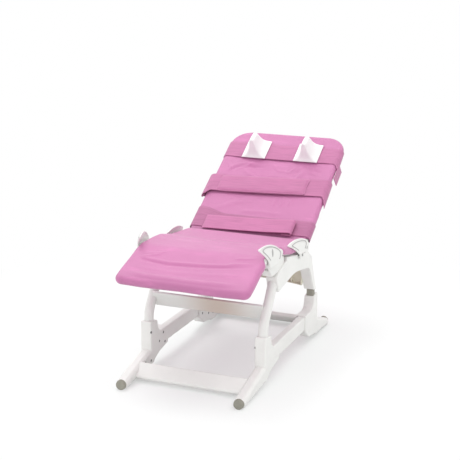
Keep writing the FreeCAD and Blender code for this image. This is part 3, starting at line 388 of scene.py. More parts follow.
def ridge(spot, line, width, height):
    """Height of a soft crease at a spot, from a line of points that it runs along."""
    spot = Vector(spot)
    nearest = 1e9
    fade = 1.0
    total = len(line) - 1
    for index in range(total):
        first, second = Vector(line[index]), Vector(line[index + 1])
        run = second - first
        share = max(0.0, min(1.0, (spot - first).dot(run) / run.length_squared))
        distance = (first + run * share - spot).length
        if distance < nearest:
            nearest = distance
            along = (index + share) / total
            fade = min(1.0, 6 * along + 0.15, 6 * (1 - along) + 0.15)
    return height * fade * exp(-(nearest / width) ** 2)


# Shapes of the chair, in millimetres from the front sockets

TUBE_X = 195.5
HALF_PANEL = 195
CLOTH_RADIUS = 14.3
STRAP_RADIUS = 14.5
PATH_STEP = 4.0
RAIL = ((333.0, 358.4), (200.0, 371.5), (118.0, 391.0), (66.5, 394.0), (-10.5, 394.0))
CALF_HEADING = radians(180.0 + 20.9)
BACK_HEADING = radians(32.0)
CALF_RISE = 37.4
CALF_LENGTH = 200.0
BACK_RISE = 7.65
BACK_LENGTH = 491.4
CALF_BEND = 7.0
BACK_BEND = 54.0
# The cross tube behind the backrest, and how far the cloth may sag over it
BRACE_RUN = 300.0
BRACE_ROOM = 4.2
ACROSS = Vector((1, 0, 0))


def heading(angle):
    return Vector((0, cos(angle), sin(angle)))


CALF_OUT = heading(CALF_HEADING)
CALF_UP = heading(CALF_HEADING - pi / 2)
BACK_OUT = heading(BACK_HEADING)
BACK_UP = heading(BACK_HEADING + pi / 2)


def on_calf(x, run, rise=CALF_RISE):
    """A point of the calf rest, from its run out of the knee hinge and its rise off it."""
    return Vector((x, *KNEE_PLACE)) + CALF_OUT * run + CALF_UP * rise


def on_back(x, run, rise=BACK_RISE):
    """A point of the backrest, from its run up from the hip hinge and its rise off it."""
    return Vector((x, *HIP_PLACE)) + BACK_OUT * run + BACK_UP * rise


def metres(points):
    return [place(*point) for point in points]


# One place along a panel's tube: its centre, the fabric side, the way out of the panel, the angle to which
# the cloth wraps the tube (90 is its top), and 1 for a full wrap or 0 for a narrow hem
Station = namedtuple("Station", "centre up out wrap full")

WRAP_STEPS = 10
SEAT_WRAP, BACK_WRAP, END_WRAP = -35, -20, -120
HEM_X = 199.0
HEM_ROUND = 1.3
# How far the calf rest's hem stands off its tube
LOOSE_HEM = 3.6


def rolled_point(station, centre, turn):
    """A point of the cloth on a tube, at an angle from the way out of the panel."""
    rise = station.up * (sin(turn) * CLOTH_RADIUS)
    return centre + rise + station.out * (cos(turn) * CLOTH_RADIUS)


def edge_points(station):
    """From the top of the tube round its outside, or a narrow hem where the panel is cut in."""
    points = []
    for step in range(WRAP_STEPS + 1):
        share = step / WRAP_STEPS
        turn = radians(90 + (station.wrap - 90) * share)
        rolled = rolled_point(station, station.centre, turn)
        if station.full < 1:
            fold = radians(90 - 180 * share)
            hem = Vector((HEM_X + 1.2 * cos(fold), station.centre.y, station.centre.z))
            hem += station.up * (CLOTH_RADIUS - HEM_ROUND + HEM_ROUND * sin(fold))
            rolled = hem.lerp(rolled, station.full)
        points.append(rolled)
    return points


def flipped(point):
    return Vector((-point.x, point.y, point.z))


def panel_cloth(name, stations, columns, lie):
    """A fabric panel: rows across it at each station, hems round the tubes, and a roll over its far end.

    lie(across, centre) gives how far the cloth stands off its flat plane."""
    points, cloth = [], []
    along = 0.0
    wide = columns + 1 + 2 * WRAP_STEPS
    for index, station in enumerate(stations):
        if index:
            along += (station.centre - stations[index - 1].centre).length
        edge = edge_points(station)
        row, marks = [], []
        arc = [0.0]
        for step in range(1, WRAP_STEPS + 1):
            arc.append(arc[-1] + (edge[step] - edge[step - 1]).length)
        for step in range(WRAP_STEPS, 0, -1):
            row.append(flipped(edge[step]))
            marks.append((-edge[0].x - arc[step], along))
        for column in range(columns + 1):
            share = column / columns * 2 - 1
            spot = Vector((edge[0].x * share, edge[0].y, edge[0].z))
            reach = 1 - abs(share) ** 6
            spot += station.up * (lie(spot.x, station.centre) * reach)
            row.append(spot)
            marks.append((spot.x, along))
        for step in range(1, WRAP_STEPS + 1):
            row.append(edge[step])
            marks.append((edge[0].x + arc[step], along))
        points += row
        cloth += marks
    faces = grid_faces(len(stations), wide)
    last = (len(stations) - 1) * wide
    station = stations[-1]
    upper = [last + WRAP_STEPS + column for column in range(columns + 1)]
    for step in range(1, WRAP_STEPS + 1):
        turn = radians(90 + (station.wrap - 90) * step / WRAP_STEPS)
        lower = [last + WRAP_STEPS - step]
        for column in range(1, columns):
            roll = rolled_point(station, points[last + WRAP_STEPS + column] - station.up * CLOTH_RADIUS, turn)
            lower.append(len(points))
            points.append(roll)
            cloth.append((roll.x, along + CLOTH_RADIUS * (pi / 2 - turn)))
        lower.append(last + WRAP_STEPS + columns + step)
        for column in range(columns):
            faces.append((upper[column], upper[column + 1], lower[column + 1], lower[column]))
        upper = lower
    cloth = [(u / 1000, v / 1000) for u, v in cloth]
    piece = mesh_piece(name, metres(points), faces, cloth)
    add_modifier(piece, "SOLIDIFY", thickness=0.0013, offset=-1.0)
    add_modifier(piece, "SUBSURF", levels=1, render_levels=1)
    return piece


def up_from(run):
    """The fabric side of a line in the side view that heads towards the foot end."""
    return Vector((0, run.z, -run.y)).normalized()


def corner_stations(centre, bend, ahead, up, wraps):
    """Stations round a panel's far corner, one for each of the wraps."""
    stations = []
    for step, wrap in enumerate(wraps, 1):
        turn = pi / 2 * step / len(wraps)
        out = Vector((cos(turn), 0, 0)) + ahead * sin(turn)
        stations.append(Station(centre + out * bend, up, out, wrap, 1.0))
    return stations


def seat_stations():
    """Stations from the hip end of the seat over the knees to the roll at the foot end."""
    line = [Vector((TUBE_X, y, z)) for y, z in RAIL]
    far = on_calf(TUBE_X, CALF_LENGTH)
    path = rounded_path(line + [far], [0, 120, 120, 0, 60, 0], PATH_STEP)
    kept = [point for point in path if (point - far).length > CALF_BEND + 2]
    kept.append(far - CALF_OUT * CALF_BEND)
    stations = []
    for index, point in enumerate(kept):
        before = kept[max(index - 1, 0)]
        after = kept[min(index + 1, len(kept) - 1)]
        up = up_from(after - before)
        y = point.y
        full = max(smooth(y, 118, 134), smooth(-y, 14, 30))
        wrap = SEAT_WRAP if y > 0 else SEAT_WRAP + (END_WRAP - SEAT_WRAP) * smooth(-y, 60, 140)
        loose = Vector((LOOSE_HEM * smooth(-y, 50, 140), 0, 0))
        stations.append(Station(point + loose, up, ACROSS, wrap, full))
    centre = far - CALF_OUT * CALF_BEND - Vector((CALF_BEND - LOOSE_HEM, 0, 0))
    return stations + corner_stations(centre, CALF_BEND, CALF_OUT, CALF_UP, [END_WRAP] * 8)


def back_stations():
    """Stations from the seat's hip end up the backrest to its top roll."""
    stations = []
    entry = ((333.0, 358.4), (341.0, 356.6), (349.0, 356.0), (357.0, 357.2))
    for index, (y, z) in enumerate(entry):
        up = Vector((0, 0.1, 1.0)).lerp(BACK_UP, index / len(entry)).normalized()
        stations.append(Station(Vector((TUBE_X, y, z)), up, ACROSS, BACK_WRAP, 0.0))
    run = 18.0
    while run < BACK_LENGTH - BACK_BEND - 4:
        # The hem is drawn back between the straps, where the tube shows
        bare = (smooth(run, 286, 300) * (1 - smooth(run, 356, 372))
                + 0.7 * smooth(run, 132, 146) * (1 - smooth(run, 176, 190)))
        wrap = BACK_WRAP + 34 * bare
        stations.append(Station(on_back(TUBE_X, run), BACK_UP, ACROSS, wrap, smooth(run, 19, 30)))
        run += PATH_STEP
    stations.append(Station(on_back(TUBE_X, BACK_LENGTH - BACK_BEND), BACK_UP, ACROSS, BACK_WRAP, 1.0))
    centre = on_back(TUBE_X - BACK_BEND, BACK_LENGTH - BACK_BEND)
    wraps = [BACK_WRAP + (END_WRAP - BACK_WRAP) * smooth(step, 2, 12) for step in range(1, 13)]
    return stations + corner_stations(centre, BACK_BEND, BACK_OUT, BACK_UP, wraps)


# Creases: each one's line (across, then forward or up the backrest), width and height
SEAT_CREASES = (
    (((-176, -76), (-153, -79), (-76, -87), (43, -79), (185, -60)), 5.0, -2.3),
    (((-176, -66), (-150, -69), (-76, -76), (43, -68), (185, -50)), 4.0, 1.7),
    (((-170, -64), (-140, -55), (-112, -44)), 3.4, 2.2),
    (((-165, -48), (-130, -42), (-100, -34)), 3.2, 1.6),
    (((118, -30), (150, -26), (182, -20)), 3.2, 2.4),
    (((106, -54), (150, -50), (186, -46)), 3.4, 2.4),
    (((-176, -108), (-60, -118), (60, -112), (176, -98)), 9.0, 1.4),
    (((-184, -140), (-107, -146), (0, -149), (90, -146), (184, -142)), 7.0, 2.0),
    (((-184, -158), (0, -164), (184, -158)), 6.0, -1.6),
    (((-120, 120), (-20, 105), (90, 112)), 12.0, 0.9),
    (((-90, 214), (20, 200), (120, 208)), 14.0, -0.9),
)
BACK_CREASES = (
    (((-170, 300), (-150, 328), (-110, 342), (-60, 340)), 6.0, 2.4),
    (((-165, 286), (-140, 316), (-95, 326), (-40, 328)), 5.0, -1.8),
    (((-120, 314), (-57, 274), (23, 254), (86, 282), (110, 338)), 8.0, 2.6),
    (((-96, 330), (-45, 296), (25, 278), (74, 302), (90, 338)), 6.0, -2.0),
    (((-20, 350), (10, 318), (52, 312), (70, 340)), 5.0, 1.6),
    (((112, 352), (126, 318), (160, 306)), 5.0, 2.0),
    (((124, 356), (140, 330), (168, 322)), 4.5, -1.4),
    (((-182, 344), (-160, 314), (-150, 290)), 5.0, 1.8),
    (((-84, 352), (-104, 330), (-150, 300)), 4.5, 1.6),
    (((45, 150), (45, 192)), 3.0, 1.3),
    (((58, 152), (58, 194)), 3.0, -1.1),
    (((72, 150), (72, 192)), 3.0, 1.3),
    (((98, 156), (100, 188)), 3.5, 1.2),
    (((-160, 108), (-90, 150), (-20, 178)), 12.0, 1.8),
    (((-60, 112), (20, 116), (90, 112)), 8.0, 1.8),
    (((-140, 182), (-60, 168), (10, 180)), 8.0, -1.4),
    (((-168, 448), (-120, 458), (-60, 454)), 8.0, 1.0),
)


CREASE_GAIN = 1.5


def creases(spot, table):
    """Height of all creases of a table at a spot."""
    return CREASE_GAIN * sum(ridge(spot, line, width, height) for line, width, height in table)


def seat_lie(x, centre):
    """Sag and creases of the seat and calf cloth."""
    wide = 1 - (x / HALF_PANEL) ** 2
    y = centre.y
    sag = -4.0 * wide * smooth(y, 40, 130) * smooth(-y, -340, -230)
    hollow = -3.0 * wide * smooth(-y, 20, 70) * smooth(y, -150, -110)
    ripple = 0.35 * sin(y / 15.0 + 0.012 * x) * wide
    return sag + hollow + ripple + creases((x, y), SEAT_CREASES)


def back_lie(x, centre):
    """Sag and creases of the backrest cloth."""
    wide = 1 - (x / HALF_PANEL) ** 2
    run = (centre - Vector((centre.x, *HIP_PLACE))).dot(BACK_OUT)
    sag = -5.0 * wide * sin(pi * min(1.0, max(0.0, run / 480)))
    lie = sag + 0.3 * sin(run / 13.0 - 0.01 * x) * wide + creases((x, run), BACK_CREASES)
    return max(lie, -BRACE_ROOM - 40 * smooth(abs(run - BRACE_RUN), 12, 40))


def lengths_along(line):
    """For each entry of a strap's line, the length from its start."""
    lengths = [0.0]
    for before, entry in zip(line, line[1:]):
        lengths.append(lengths[-1] + hypot(entry[0] - before[0], entry[1] - before[1]))
    return lengths


STRAP_ROWS = 13
TOP_PARTS, TURN_PARTS, UNDER_PARTS = 60, 15, 40


def band_profile(gap, bulge):
    """A band's way round the backrest, from right to left over the cloth and back under it.

    Each entry is its place across, its rise, and whether it lies on the cloth."""
    radius = STRAP_RADIUS + gap
    outline = []
    for index in range(TOP_PARTS):
        x = TUBE_X - 2 * TUBE_X * index / TOP_PARTS
        outline.append((x, radius + bulge * 0.6 * smooth(-x, 120, 195), True))
    for index in range(TURN_PARTS):
        turn = pi / 2 + pi * index / TURN_PARTS
        swell = (0.6 + 0.4 * sin(pi * index / TURN_PARTS)) * (1 - smooth(index, 9, TURN_PARTS))
        out = radius + bulge * swell
        outline.append((-TUBE_X + out * cos(turn), out * sin(turn), False))
    for index in range(UNDER_PARTS):
        outline.append((-TUBE_X + 2 * TUBE_X * index / UNDER_PARTS, -radius, False))
    for index in range(TURN_PARTS):
        turn = -pi / 2 + pi * index / TURN_PARTS
        outline.append((TUBE_X + radius * cos(turn), radius * sin(turn), False))
    return outline


def strap_ring(name, start, width, gap, slant, bulge, flares, material):
    """A webbing band round the backrest, slanted across it and standing off at its left end.

    flares: how far its upper edge rises at the left, and its lower edge drops at the left and right."""
    rise_left, drop_left, drop_right = flares
    points, cloth = [], []
    outline = band_profile(gap, bulge)
    lengths = lengths_along(outline)
    for row in range(STRAP_ROWS):
        share = row / (STRAP_ROWS - 1)
        for (x, rise, top), length in zip(outline, lengths):
            lift = 0.5 * sin(x / 21.0 + 5 * share) * sin(pi * share) if top else 0.0
            by_left = smooth(-x, 95, 190) * smooth(rise, -14, 6)
            by_right = smooth(x, TUBE_X - 4, TUBE_X + 13) * smooth(-rise, -20, -2) * smooth(rise, -16, -6)
            drop = drop_left * smooth(-x, 190, 206) * smooth(rise, -12, 2) + drop_right * by_right
            run = start + width * share + x * slant + rise_left * by_left * share ** 1.5
            run -= drop * (1 - share) ** 2
            droop = -1.6 * cos(pi * x / 390) if top and not bulge else 0.0
            points.append(on_back(x + 3.0 * by_right * (1 - share) * smooth(drop_right, 0, 20), run + droop,
                                  BACK_RISE + rise + max(0.0, lift)))
            cloth.append((width * share / 1000, length / 1000))
    faces = grid_faces(STRAP_ROWS, len(outline), closed=True)
    piece = mesh_piece(name, metres(points), faces, cloth, material)
    add_modifier(piece, "SOLIDIFY", thickness=0.0016, offset=0.0)
    add_modifier(piece, "BEVEL", width=0.0005, segments=2)
    (length + 2) / 1000
    return piece


def ribbon(name, profile, start, width, thick, material, slant=0.0, lean=0.0):
    """A flat strap: its side-on line of across and rise, carried along the backrest for its width.

    Gives the strap and the length of its line."""
    points, cloth = [], []
    lengths = lengths_along(profile)
    for row in range(STRAP_ROWS):
        share = row / (STRAP_ROWS - 1)
        for (x, rise), length in zip(profile, lengths):
            points.append(on_back(x, start + width * share + x * slant + lean * length * (0.5 - share), rise))
            cloth.append((width * share / 1000, length / 1000))
    piece = mesh_piece(name, metres(points), grid_faces(STRAP_ROWS, len(profile)), cloth, material)
    add_modifier(piece, "SOLIDIFY", thickness=thick / 1000, offset=0.0)
    add_modifier(piece, "BEVEL", width=0.0006, segments=2)
    return piece, length


def belt_profile():
    """The pelvic belt's line: off its left anchor, over the lap, and back in a loop at its right end."""
    corners = [Vector((-160, 27.2, 0)), Vector((-150, 28.6, 0)), Vector((-60, 30.4, 0)),
               Vector((60, 34.4, 0)), Vector((148, 42, 0)), Vector((155.5, 33.5, 0)), Vector((148, 27.2, 0)),
               Vector((118, 26.6, 0))]
    path = rounded_path(corners, [0, 9, 90, 90, 5, 4, 4, 0], PATH_STEP)
    return [(point.x, point.y) for point in path]


def chest_pad(name, material):
    """The padded part of the chest strap: a slab with soft edges and a stitched border."""
    left, right, start, width, thick = -175.0, 140.0, 198.0, 76.0, 5.6
    low = BACK_RISE + STRAP_RADIUS + 3.0 + 2.6
    slope = tan(radians(2.9))
    columns, rows = 72, 18
    points, cloth = [], []
    for layer in (1, 0):
        for row in range(rows + 1):
            v = row / rows
            for column in range(columns + 1):
                u = column / columns
                inside = min(1.0, 9.0 * min(v, 1 - v)) ** 0.5 * min(1.0, 34.0 * min(u, 1 - u)) ** 0.5
                x = left + (right - left) * u
                x += 1.2 * sin(9 * v) * (1 if column in (0, columns) else 0)
                run = start + width * v + x * slope
                wave = 0.5 * sin(x / 13.0 + 3 * v) + 0.4 * sin(x / 31.0 - 7 * v)
                seam = -1.2 * exp(-((v - 0.09) / 0.02) ** 2) - 1.2 * exp(-((v - 0.91) / 0.02) ** 2)
                rise = (thick + wave + seam) * inside if layer else 0.0
                points.append(on_back(x, run, low + rise))
                cloth.append((v * width / 1000, x / 1000))
    wide = columns + 1
    total = wide * (rows + 1)
    faces = grid_faces(rows + 1, wide)
    faces += [tuple(total + corner for corner in reversed(face)) for face in grid_faces(rows + 1, wide)]
    rim = list(range(wide)) + [wide * row + columns for row in range(1, rows + 1)]
    rim += [wide * rows + column for column in range(columns - 1, -1, -1)]
    rim += [wide * row for row in range(rows - 1, 0, -1)]
    for first, second in zip(rim, rim[1:] + rim[:1]):
        faces.append((second, first, total + first, total + second))
    return mesh_piece(name, metres(points), faces, cloth, material)


def ring_loft(name, rings):
    """A closed form through rings of the same number of points."""
    count = len(rings[0])
    points = [point for ring in rings for point in ring]
    faces = [tuple(reversed(face)) for face in grid_faces(len(rings), count, closed=True)]
    points.append(sum(rings[0], Vector()) / count)
    faces += [(index, (index + 1) % count, len(points) - 1) for index in range(count)]
    base = (len(rings) - 1) * count
    points.append(sum(rings[-1], Vector()) / count)
    faces += [(base + (index + 1) % count, base + index, len(points) - 1) for index in range(count)]
    return mesh_piece(name, metres(points), faces)


def rounded_ring(half_x, half_y, power, count=48):
    """Points round a rectangle with softened corners."""
    ring = []
    for index in range(count):
        turn = 2 * pi * index / count
        c, s = cos(turn), sin(turn)
        ring.append((copysign(abs(c) ** (2 / power), c) * half_x,
                     copysign(abs(s) ** (2 / power), s) * half_y))
    return ring


BLOCK_X = 95.0
BLOCK_START = 363.0
BLOCK_LEAN = -0.17
# A head cushion's levels: shares of its height, width and length, its shift, corner power and corner reach
BLOCK_LEVELS = (
    (0.0, 0.98, 0.98, 0.0, 12.0, 0.05),
    (0.03, 0.99, 0.99, 0.0, 12.0, 0.06),
    (0.06, 0.95, 0.97, 0.0, 11.0, 0.045),
    (0.1, 0.82, 0.925, 0.004, 9.0, 0.02),
    (0.17, 0.67, 0.87, 0.008, 7.0, 0.008),
    (0.28, 0.52, 0.8, 0.004, 6.0, 0.0),
    (0.44, 0.39, 0.725, -0.008, 5.5, 0.0),
    (0.62, 0.3, 0.665, -0.016, 5.0, 0.0),
    (0.8, 0.24, 0.61, -0.022, 4.5, 0.0),
    (0.91, 0.205, 0.57, -0.03, 4.0, 0.0),
    (0.97, 0.17, 0.54, -0.035, 3.4, 0.0),
    (1.0, 0.1, 0.49, -0.04, 3.0, 0.0),
)


def head_cushion(name, way, width, length, height, material):
    """A wedge cushion: wide foot, hollow flanks and a soft ridge."""
    rings = []
    low = BACK_RISE + STRAP_RADIUS + 2.7
    for level, wide, long, shift, power, horn in BLOCK_LEVELS:
        ring = []
        for across, run in rounded_ring(width * wide / 2, length * long / 2, power):
            corner = min(abs(across) / (width * wide / 2), abs(run) / (length * long / 2))
            across *= 1 + horn * smooth(corner, 0.8, 0.98)
            run *= 1 + horn * smooth(corner, 0.8, 0.98)
            tilt = BLOCK_LEAN * height * level * run / length
            ring.append(on_back(way * BLOCK_X + across, BLOCK_START + length * (0.5 + shift) + run,
                                low + height * level + tilt))
        rings.append(ring)
    piece = ring_loft(name, rings)
    piece.data.materials.append(material)
    add_modifier(piece, "SUBSURF", levels=2, render_levels=2)
    return piece


# The levers' pins, forward and up; their outer faces, across, then forward and up from the pin
KNEE_PIN = (42.0, 383.0)
HIP_PIN = (285.0, 335.0)
KNEE_FACE = (
    ((215.8, -40, -8), (216.8, -2, -8), (216.8, 37, -9)),
    ((215.3, -50, 13), (219.3, -6, 13), (220.3, 37, 3)),
    ((205.8, -66, 36), (215.8, -16, 38), (222.3, 36, 14)),
    ((193.8, -79, 52), (208.8, -22, 54), (222.8, 34, 21)),
)
HIP_FACE = (
    ((216.3, -17, 10), (216.8, 1, 10), (217.3, 19, 10)),
    ((215.8, -45, 27), (217.8, 0, 27), (218.8, 27, 22)),
    ((214.4, -79, 46), (217.8, -15, 45), (219.8, 34, 33)),
    ((206.3, -105, 59), (213.3, -17, 59), (219.8, 37, 42)),
)
# The raised line and the oval, as places on a face
RIM_PATH = ((-0.82, 0.34), (-0.88, 0.62), (-0.86, 0.86), (-0.4, 0.9), (0.2, 0.87), (0.66, 0.84), (0.8, 0.68),
            (0.74, 0.42), (0.6, 0.24))
OVAL_CENTRE = (-0.26, 0.58)
OVAL_HALF = (0.1, 0.18)
OVAL_SLANT = 0.2
TRIM_RADIUS, TRIM_LIFT = 1.3, 0.3
OVAL_SUNK, OVAL_HEIGHT = -0.8, 2.4


def face_point(rows, u, v):
    """A point on a lever's face: u from -1 at the front to 1 at the back, v from foot to rim as 0 to 1."""
    lines = [Vector(a) * (u * (u - 1) / 2) + Vector(b) * (1 - u * u) + Vector(c) * (u * (u + 1) / 2)
             for a, b, c in rows]
    knots = (0.0, 1 / 3, 2 / 3, 1.0)
    total = Vector()
    for index, line in enumerate(lines):
        weight = 1.0
        for other, knot in enumerate(knots):
            if other != index:
                weight *= (v - knot) / (knots[index] - knot)
        total += line * weight
    return total


def smooth_line(points, parts):
    """A smooth line through points, with so many parts between two of them."""
    line = []
    points = [Vector(point) for point in points]
    for index in range(len(points) - 1):
        before = points[max(index - 1, 0)]
        first, second = points[index], points[index + 1]
        after = points[min(index + 2, len(points) - 1)]
        square = 2 * before - 5 * first + 4 * second - after
        cube = 3 * first - before - 3 * second + after
        for step in range(parts):
            s = step / parts
            line.append(0.5 * ((2 * first) + (second - before) * s + square * s * s + cube * s * s * s))
    return line + [points[-1]]


def tube_rings(line, radius, sides=8):
    """Points and faces of a tube along a line, rounded off at both ends."""
    points = []
    for index, centre in enumerate(line):
        ahead = (line[min(index + 1, len(line) - 1)] - line[max(index - 1, 0)]).normalized()
        other = ahead.cross(ACROSS).normalized()
        girth = radius * (0.35 if index in (0, len(line) - 1) else 1.0)
        points += [centre + (ACROSS * cos(a) + other * sin(a)) * girth
                   for a in (2 * pi * k / sides for k in range(sides))]
    faces = grid_faces(len(line), sides, closed=True)
    last = len(points) - sides
    faces += [tuple(range(sides - 1, -1, -1)), tuple(range(last, last + sides))]
    return points, faces


def lever_trim(name, rows, spot, way, oval, material):
    """The raised line inside a lever's rim and, on the knee levers, the oval boss for the thumb; their dark
    grey is painted shade of the rim's groove and the thumb hollow.
    """
    line = [face_point(rows, u, v) + ACROSS * TRIM_LIFT for u, v in smooth_line(RIM_PATH, 6)]
    points, faces = tube_rings(line, TRIM_RADIUS)
    if oval:
        base = len(points)
        rings, count = 5, 28
        for ring in range(rings):
            share = 1 - ring / rings
            for index in range(count):
                turn = 2 * pi * index / count
                along = sin(turn) * OVAL_HALF[1] * share
                u = OVAL_CENTRE[0] + cos(turn) * OVAL_HALF[0] * share + along / OVAL_HALF[1] * OVAL_SLANT
                lift = ACROSS * (OVAL_SUNK + OVAL_HEIGHT * (1 - share ** 4))
                points.append(face_point(rows, u, OVAL_CENTRE[1] + along) + lift)
        faces += [tuple(base + corner for corner in face) for face in grid_faces(rings, count, closed=True)]
        faces.append(tuple(base + (rings - 1) * count + index for index in range(count)))
    points = [Vector((way * point.x, point.y + spot[0], point.z + spot[1])) for point in points]
    if way < 0:
        faces = [tuple(reversed(face)) for face in faces]
    return mesh_piece(name, metres(points), faces, None, material)


# Settings that a user would change


class BathChairSettings(PropertyGroup):
    """Sizes and colours of the bath chair's cloth and finishes."""

    cloth_colour: FloatVectorProperty(
        name="Mesh colour", description="Colour of the mesh sling", subtype="COLOR",
        size=3, min=0, max=1, default=(0.56, 0.18, 0.385))
    strap_colour: FloatVectorProperty(
        name="Strap colour", description="Colour of the webbing straps", subtype="COLOR",
        size=3, min=0, max=1, default=(0.50, 0.158, 0.325))
    plastic_colour: FloatVectorProperty(
        name="Plastic colour", description="Colour of the moulded plastic", subtype="COLOR",
        size=3, min=0, max=1, default=(0.8, 0.795, 0.775))
    mesh_pitch: FloatProperty(
        name="Mesh pitch", description="Distance between two holes of the mesh", subtype="DISTANCE",
        unit="LENGTH", default=0.0024, min=0.001, max=0.01)
    strap_pitch: FloatProperty(
        name="Rib pitch", description="Distance between two ribs of the webbing", subtype="DISTANCE",
        unit="LENGTH", default=0.0032, min=0.001, max=0.01)
    cushion_height: FloatProperty(
        name="Head cushion height", description="Height of a head cushion over the strap", subtype="DISTANCE",
        unit="LENGTH", default=0.066, min=0.03, max=0.1)
    columns: IntProperty(
        name="Mesh columns", description="Number of faces across a cloth panel", default=116, min=16, max=200)


SIDES = (("right", 1), ("left", -1))


def settings():
    return bpy.context.scene.bath_chair


class BathChairOperator(Operator):
    """Base of the bath chair's operators."""

    bl_options = {"REGISTER", "UNDO"}


class BATHCHAIR_OT_finishes(BathChairOperator):
    """Gives every hard part its moulded, coated, metal or rubber finish"""

    bl_idname = "bathchair.finishes"
    bl_label = "Finishes"

    def execute(self, context):
        white = tuple(settings().plastic_colour)
        made = {
            "stand_plastic": moulded_plastic("stand plastic", white, 0.42, 0.1),
            "arch_plastic": moulded_plastic("arch plastic", white, 0.38, 0.08),
            "lever_plastic": moulded_plastic("lever plastic", white, 0.28, 0.05),
            "bush_plastic": moulded_plastic("bush plastic", (0.5, 0.5, 0.47), 0.5, 0.1),
            "white_tube": powder_coat("tube powder coat", shade(white, 0.98)),
            "hinge_metal": metal("cast hinge", (0.78, 0.78, 0.77), 0.45, 160.0),
            "pivot_steel": metal("pivot steel", (0.45, 0.45, 0.45), 0.3, 300.0),
            "screw_steel": metal("screw steel", (0.16, 0.16, 0.16), 0.4, 300.0),
            "foot_rubber": rubber("foot rubber", (0.28, 0.27, 0.23)),
        }
        single = {
            # The front plate's warm brown middle is painted shade and painted bounce light from the pink
            # cloth
            "base_front_crossbar": powder_coat("front plate painted shade coat", shade(white, 0.98), (0.55, 0.43, 0.36)),
            # Painted shade: the rear plate's darker olive-beige stands in for its face lying in shade; it is
            # the same white plastic
            "base_rear_crossbar": moulded_plastic("rear plate painted shade plastic", (0.76, 0.73, 0.6), 0.45, 0.1),
        }
        slots = {part["node"]: part["material_slot"] for part in frame["record"]["subparts"]}
        for node, piece in frame["nodes"].items():
            material = single.get(node) or made.get(slots[node])
            if material:
                for slot in piece.material_slots:
                    slot.material = material
        return {"FINISHED"}


class BATHCHAIR_OT_lever_trims(BathChairOperator):
    """Adds the raised line and the thumb boss to the faces of the release levers, dark grey as painted groove
    shade
    """

    bl_idname = "bathchair.lever_trims"
    bl_label = "Lever trims"

    def execute(self, context):
        # Painted shade: the trims are dark grey for the shaded groove inside each lever's rim and the shaded
        # thumb hollow
        groove_shade_grey = moulded_plastic("lever trim painted shade", (0.42, 0.41, 0.41), 0.4, 0.05)
        for side, way in SIDES:
            for joint, rows, spot in (("knee", KNEE_FACE, KNEE_PIN), ("hip", HIP_FACE, HIP_PIN)):
                trim = lever_trim(f"{joint}_lever_trim_{side}", rows, spot, way, joint == "knee", groove_shade_grey)
                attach(trim, f"{joint}_release_{side}")
        return {"FINISHED"}


class BATHCHAIR_OT_sling(BathChairOperator):
    """Makes the mesh over the seat, the calves and the backrest"""

    bl_idname = "bathchair.sling"
    bl_label = "Mesh sling"

    def execute(self, context):
        values = settings()
        colour = tuple(values.cloth_colour)
        dark = (0.3, 0.08, 0.18)
        seat = panel_cloth("seat_sling", seat_stations(), values.columns, seat_lie)
        # Painted shade: the seat mesh darkens towards the calf rest's front lip, which faces away from the
        # light
        seat.data.materials.append(mesh_cloth("seat mesh", colour, dark, values.mesh_pitch, (0.44, 0.6)))
        place(0, 22, 395)
        place(0, -34, 388)
        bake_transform(seat)
        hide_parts("seat_cover", "calf_cover")
        back = panel_cloth("back_sling", back_stations(), values.columns, back_lie)
        # Painted shade: the back's mesh is a darker copy of the seat's mesh
        colour = shade(colour, 0.93)
        # Painted shade: the back mesh darkens near its hip end
        back.data.materials.append(mesh_cloth("back mesh", colour, dark, values.mesh_pitch, (0.12, 0.0)))
        place(0, 334, 370)
        place(0, 372, 376)
        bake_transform(back)
        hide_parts("back_cover")
        return {"FINISHED"}


class BATHCHAIR_OT_straps(BathChairOperator):
    """Makes the head and chest straps and the pelvic band round the backrest"""

    bl_idname = "bathchair.straps"
    bl_label = "Straps"

    def execute(self, context):
        values = settings()
        colour = tuple(values.strap_colour)
        for name, node, start, width, gap, slant, bulge, flares in (
                ("head_strap_band", "head_strap", 368.0, 74.0, 1.4, 0.0, 0.0, (0.0, 0.0, 22.0)),
                ("chest_strap_band", "chest_strap", 197.0, 78.0, 3.2, 0.0507, 10.0, (0.0, 16.0, 34.0)),
                ("pelvic_strap_band", "pelvic_band", 23.5, 67.0, 1.4, 0.0, 0.0, (24.0, 0.0, 0.0))):
            tone = 0.88 if node == "pelvic_band" else 1.0
            web = webbing(name + " webbing", shade(colour, tone), values.strap_pitch, width / 1000)
            band = strap_ring(name, start, width, gap, slant, bulge, flares, web)
            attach(band, "back")
            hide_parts(node)
        web = webbing("tail webbing", colour, values.strap_pitch, 0.074)
        tail = [(213.4, 15.0), (214.2, 8.0), (215.0, 2.0), (215.4, -4.0), (216.0, -12.0), (217.0, -20.0)]
        piece, length = ribbon("head_strap_end", tail, 305.0, 72.0, 2.0, web, lean=0.1)
        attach(piece, "back")
        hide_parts("head_strap_tail")
        (length + 1) / 1000
        return {"FINISHED"}


class BATHCHAIR_OT_pads(BathChairOperator):
    """Makes the padded part of the chest strap and the pelvic belt"""

    bl_idname = "bathchair.pads"
    bl_label = "Padding and belt"

    def execute(self, context):
        values = settings()
        web = webbing("pad webbing", shade(values.strap_colour, 1.04), values.strap_pitch, 0.076)
        pad = chest_pad("chest_padding", web)
        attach(pad, "back")
        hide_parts("chest_strap_pad")
        web = webbing("belt webbing", shade(values.strap_colour, 1.1), values.strap_pitch, 0.060)
        belt, length = ribbon("pelvic_lap_belt", belt_profile(), 14.0, 60.0, 2.4, web, slant=0.01)
        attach(belt, "back")
        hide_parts("pelvic_belt")
        (length + 1) / 1000
        return {"FINISHED"}


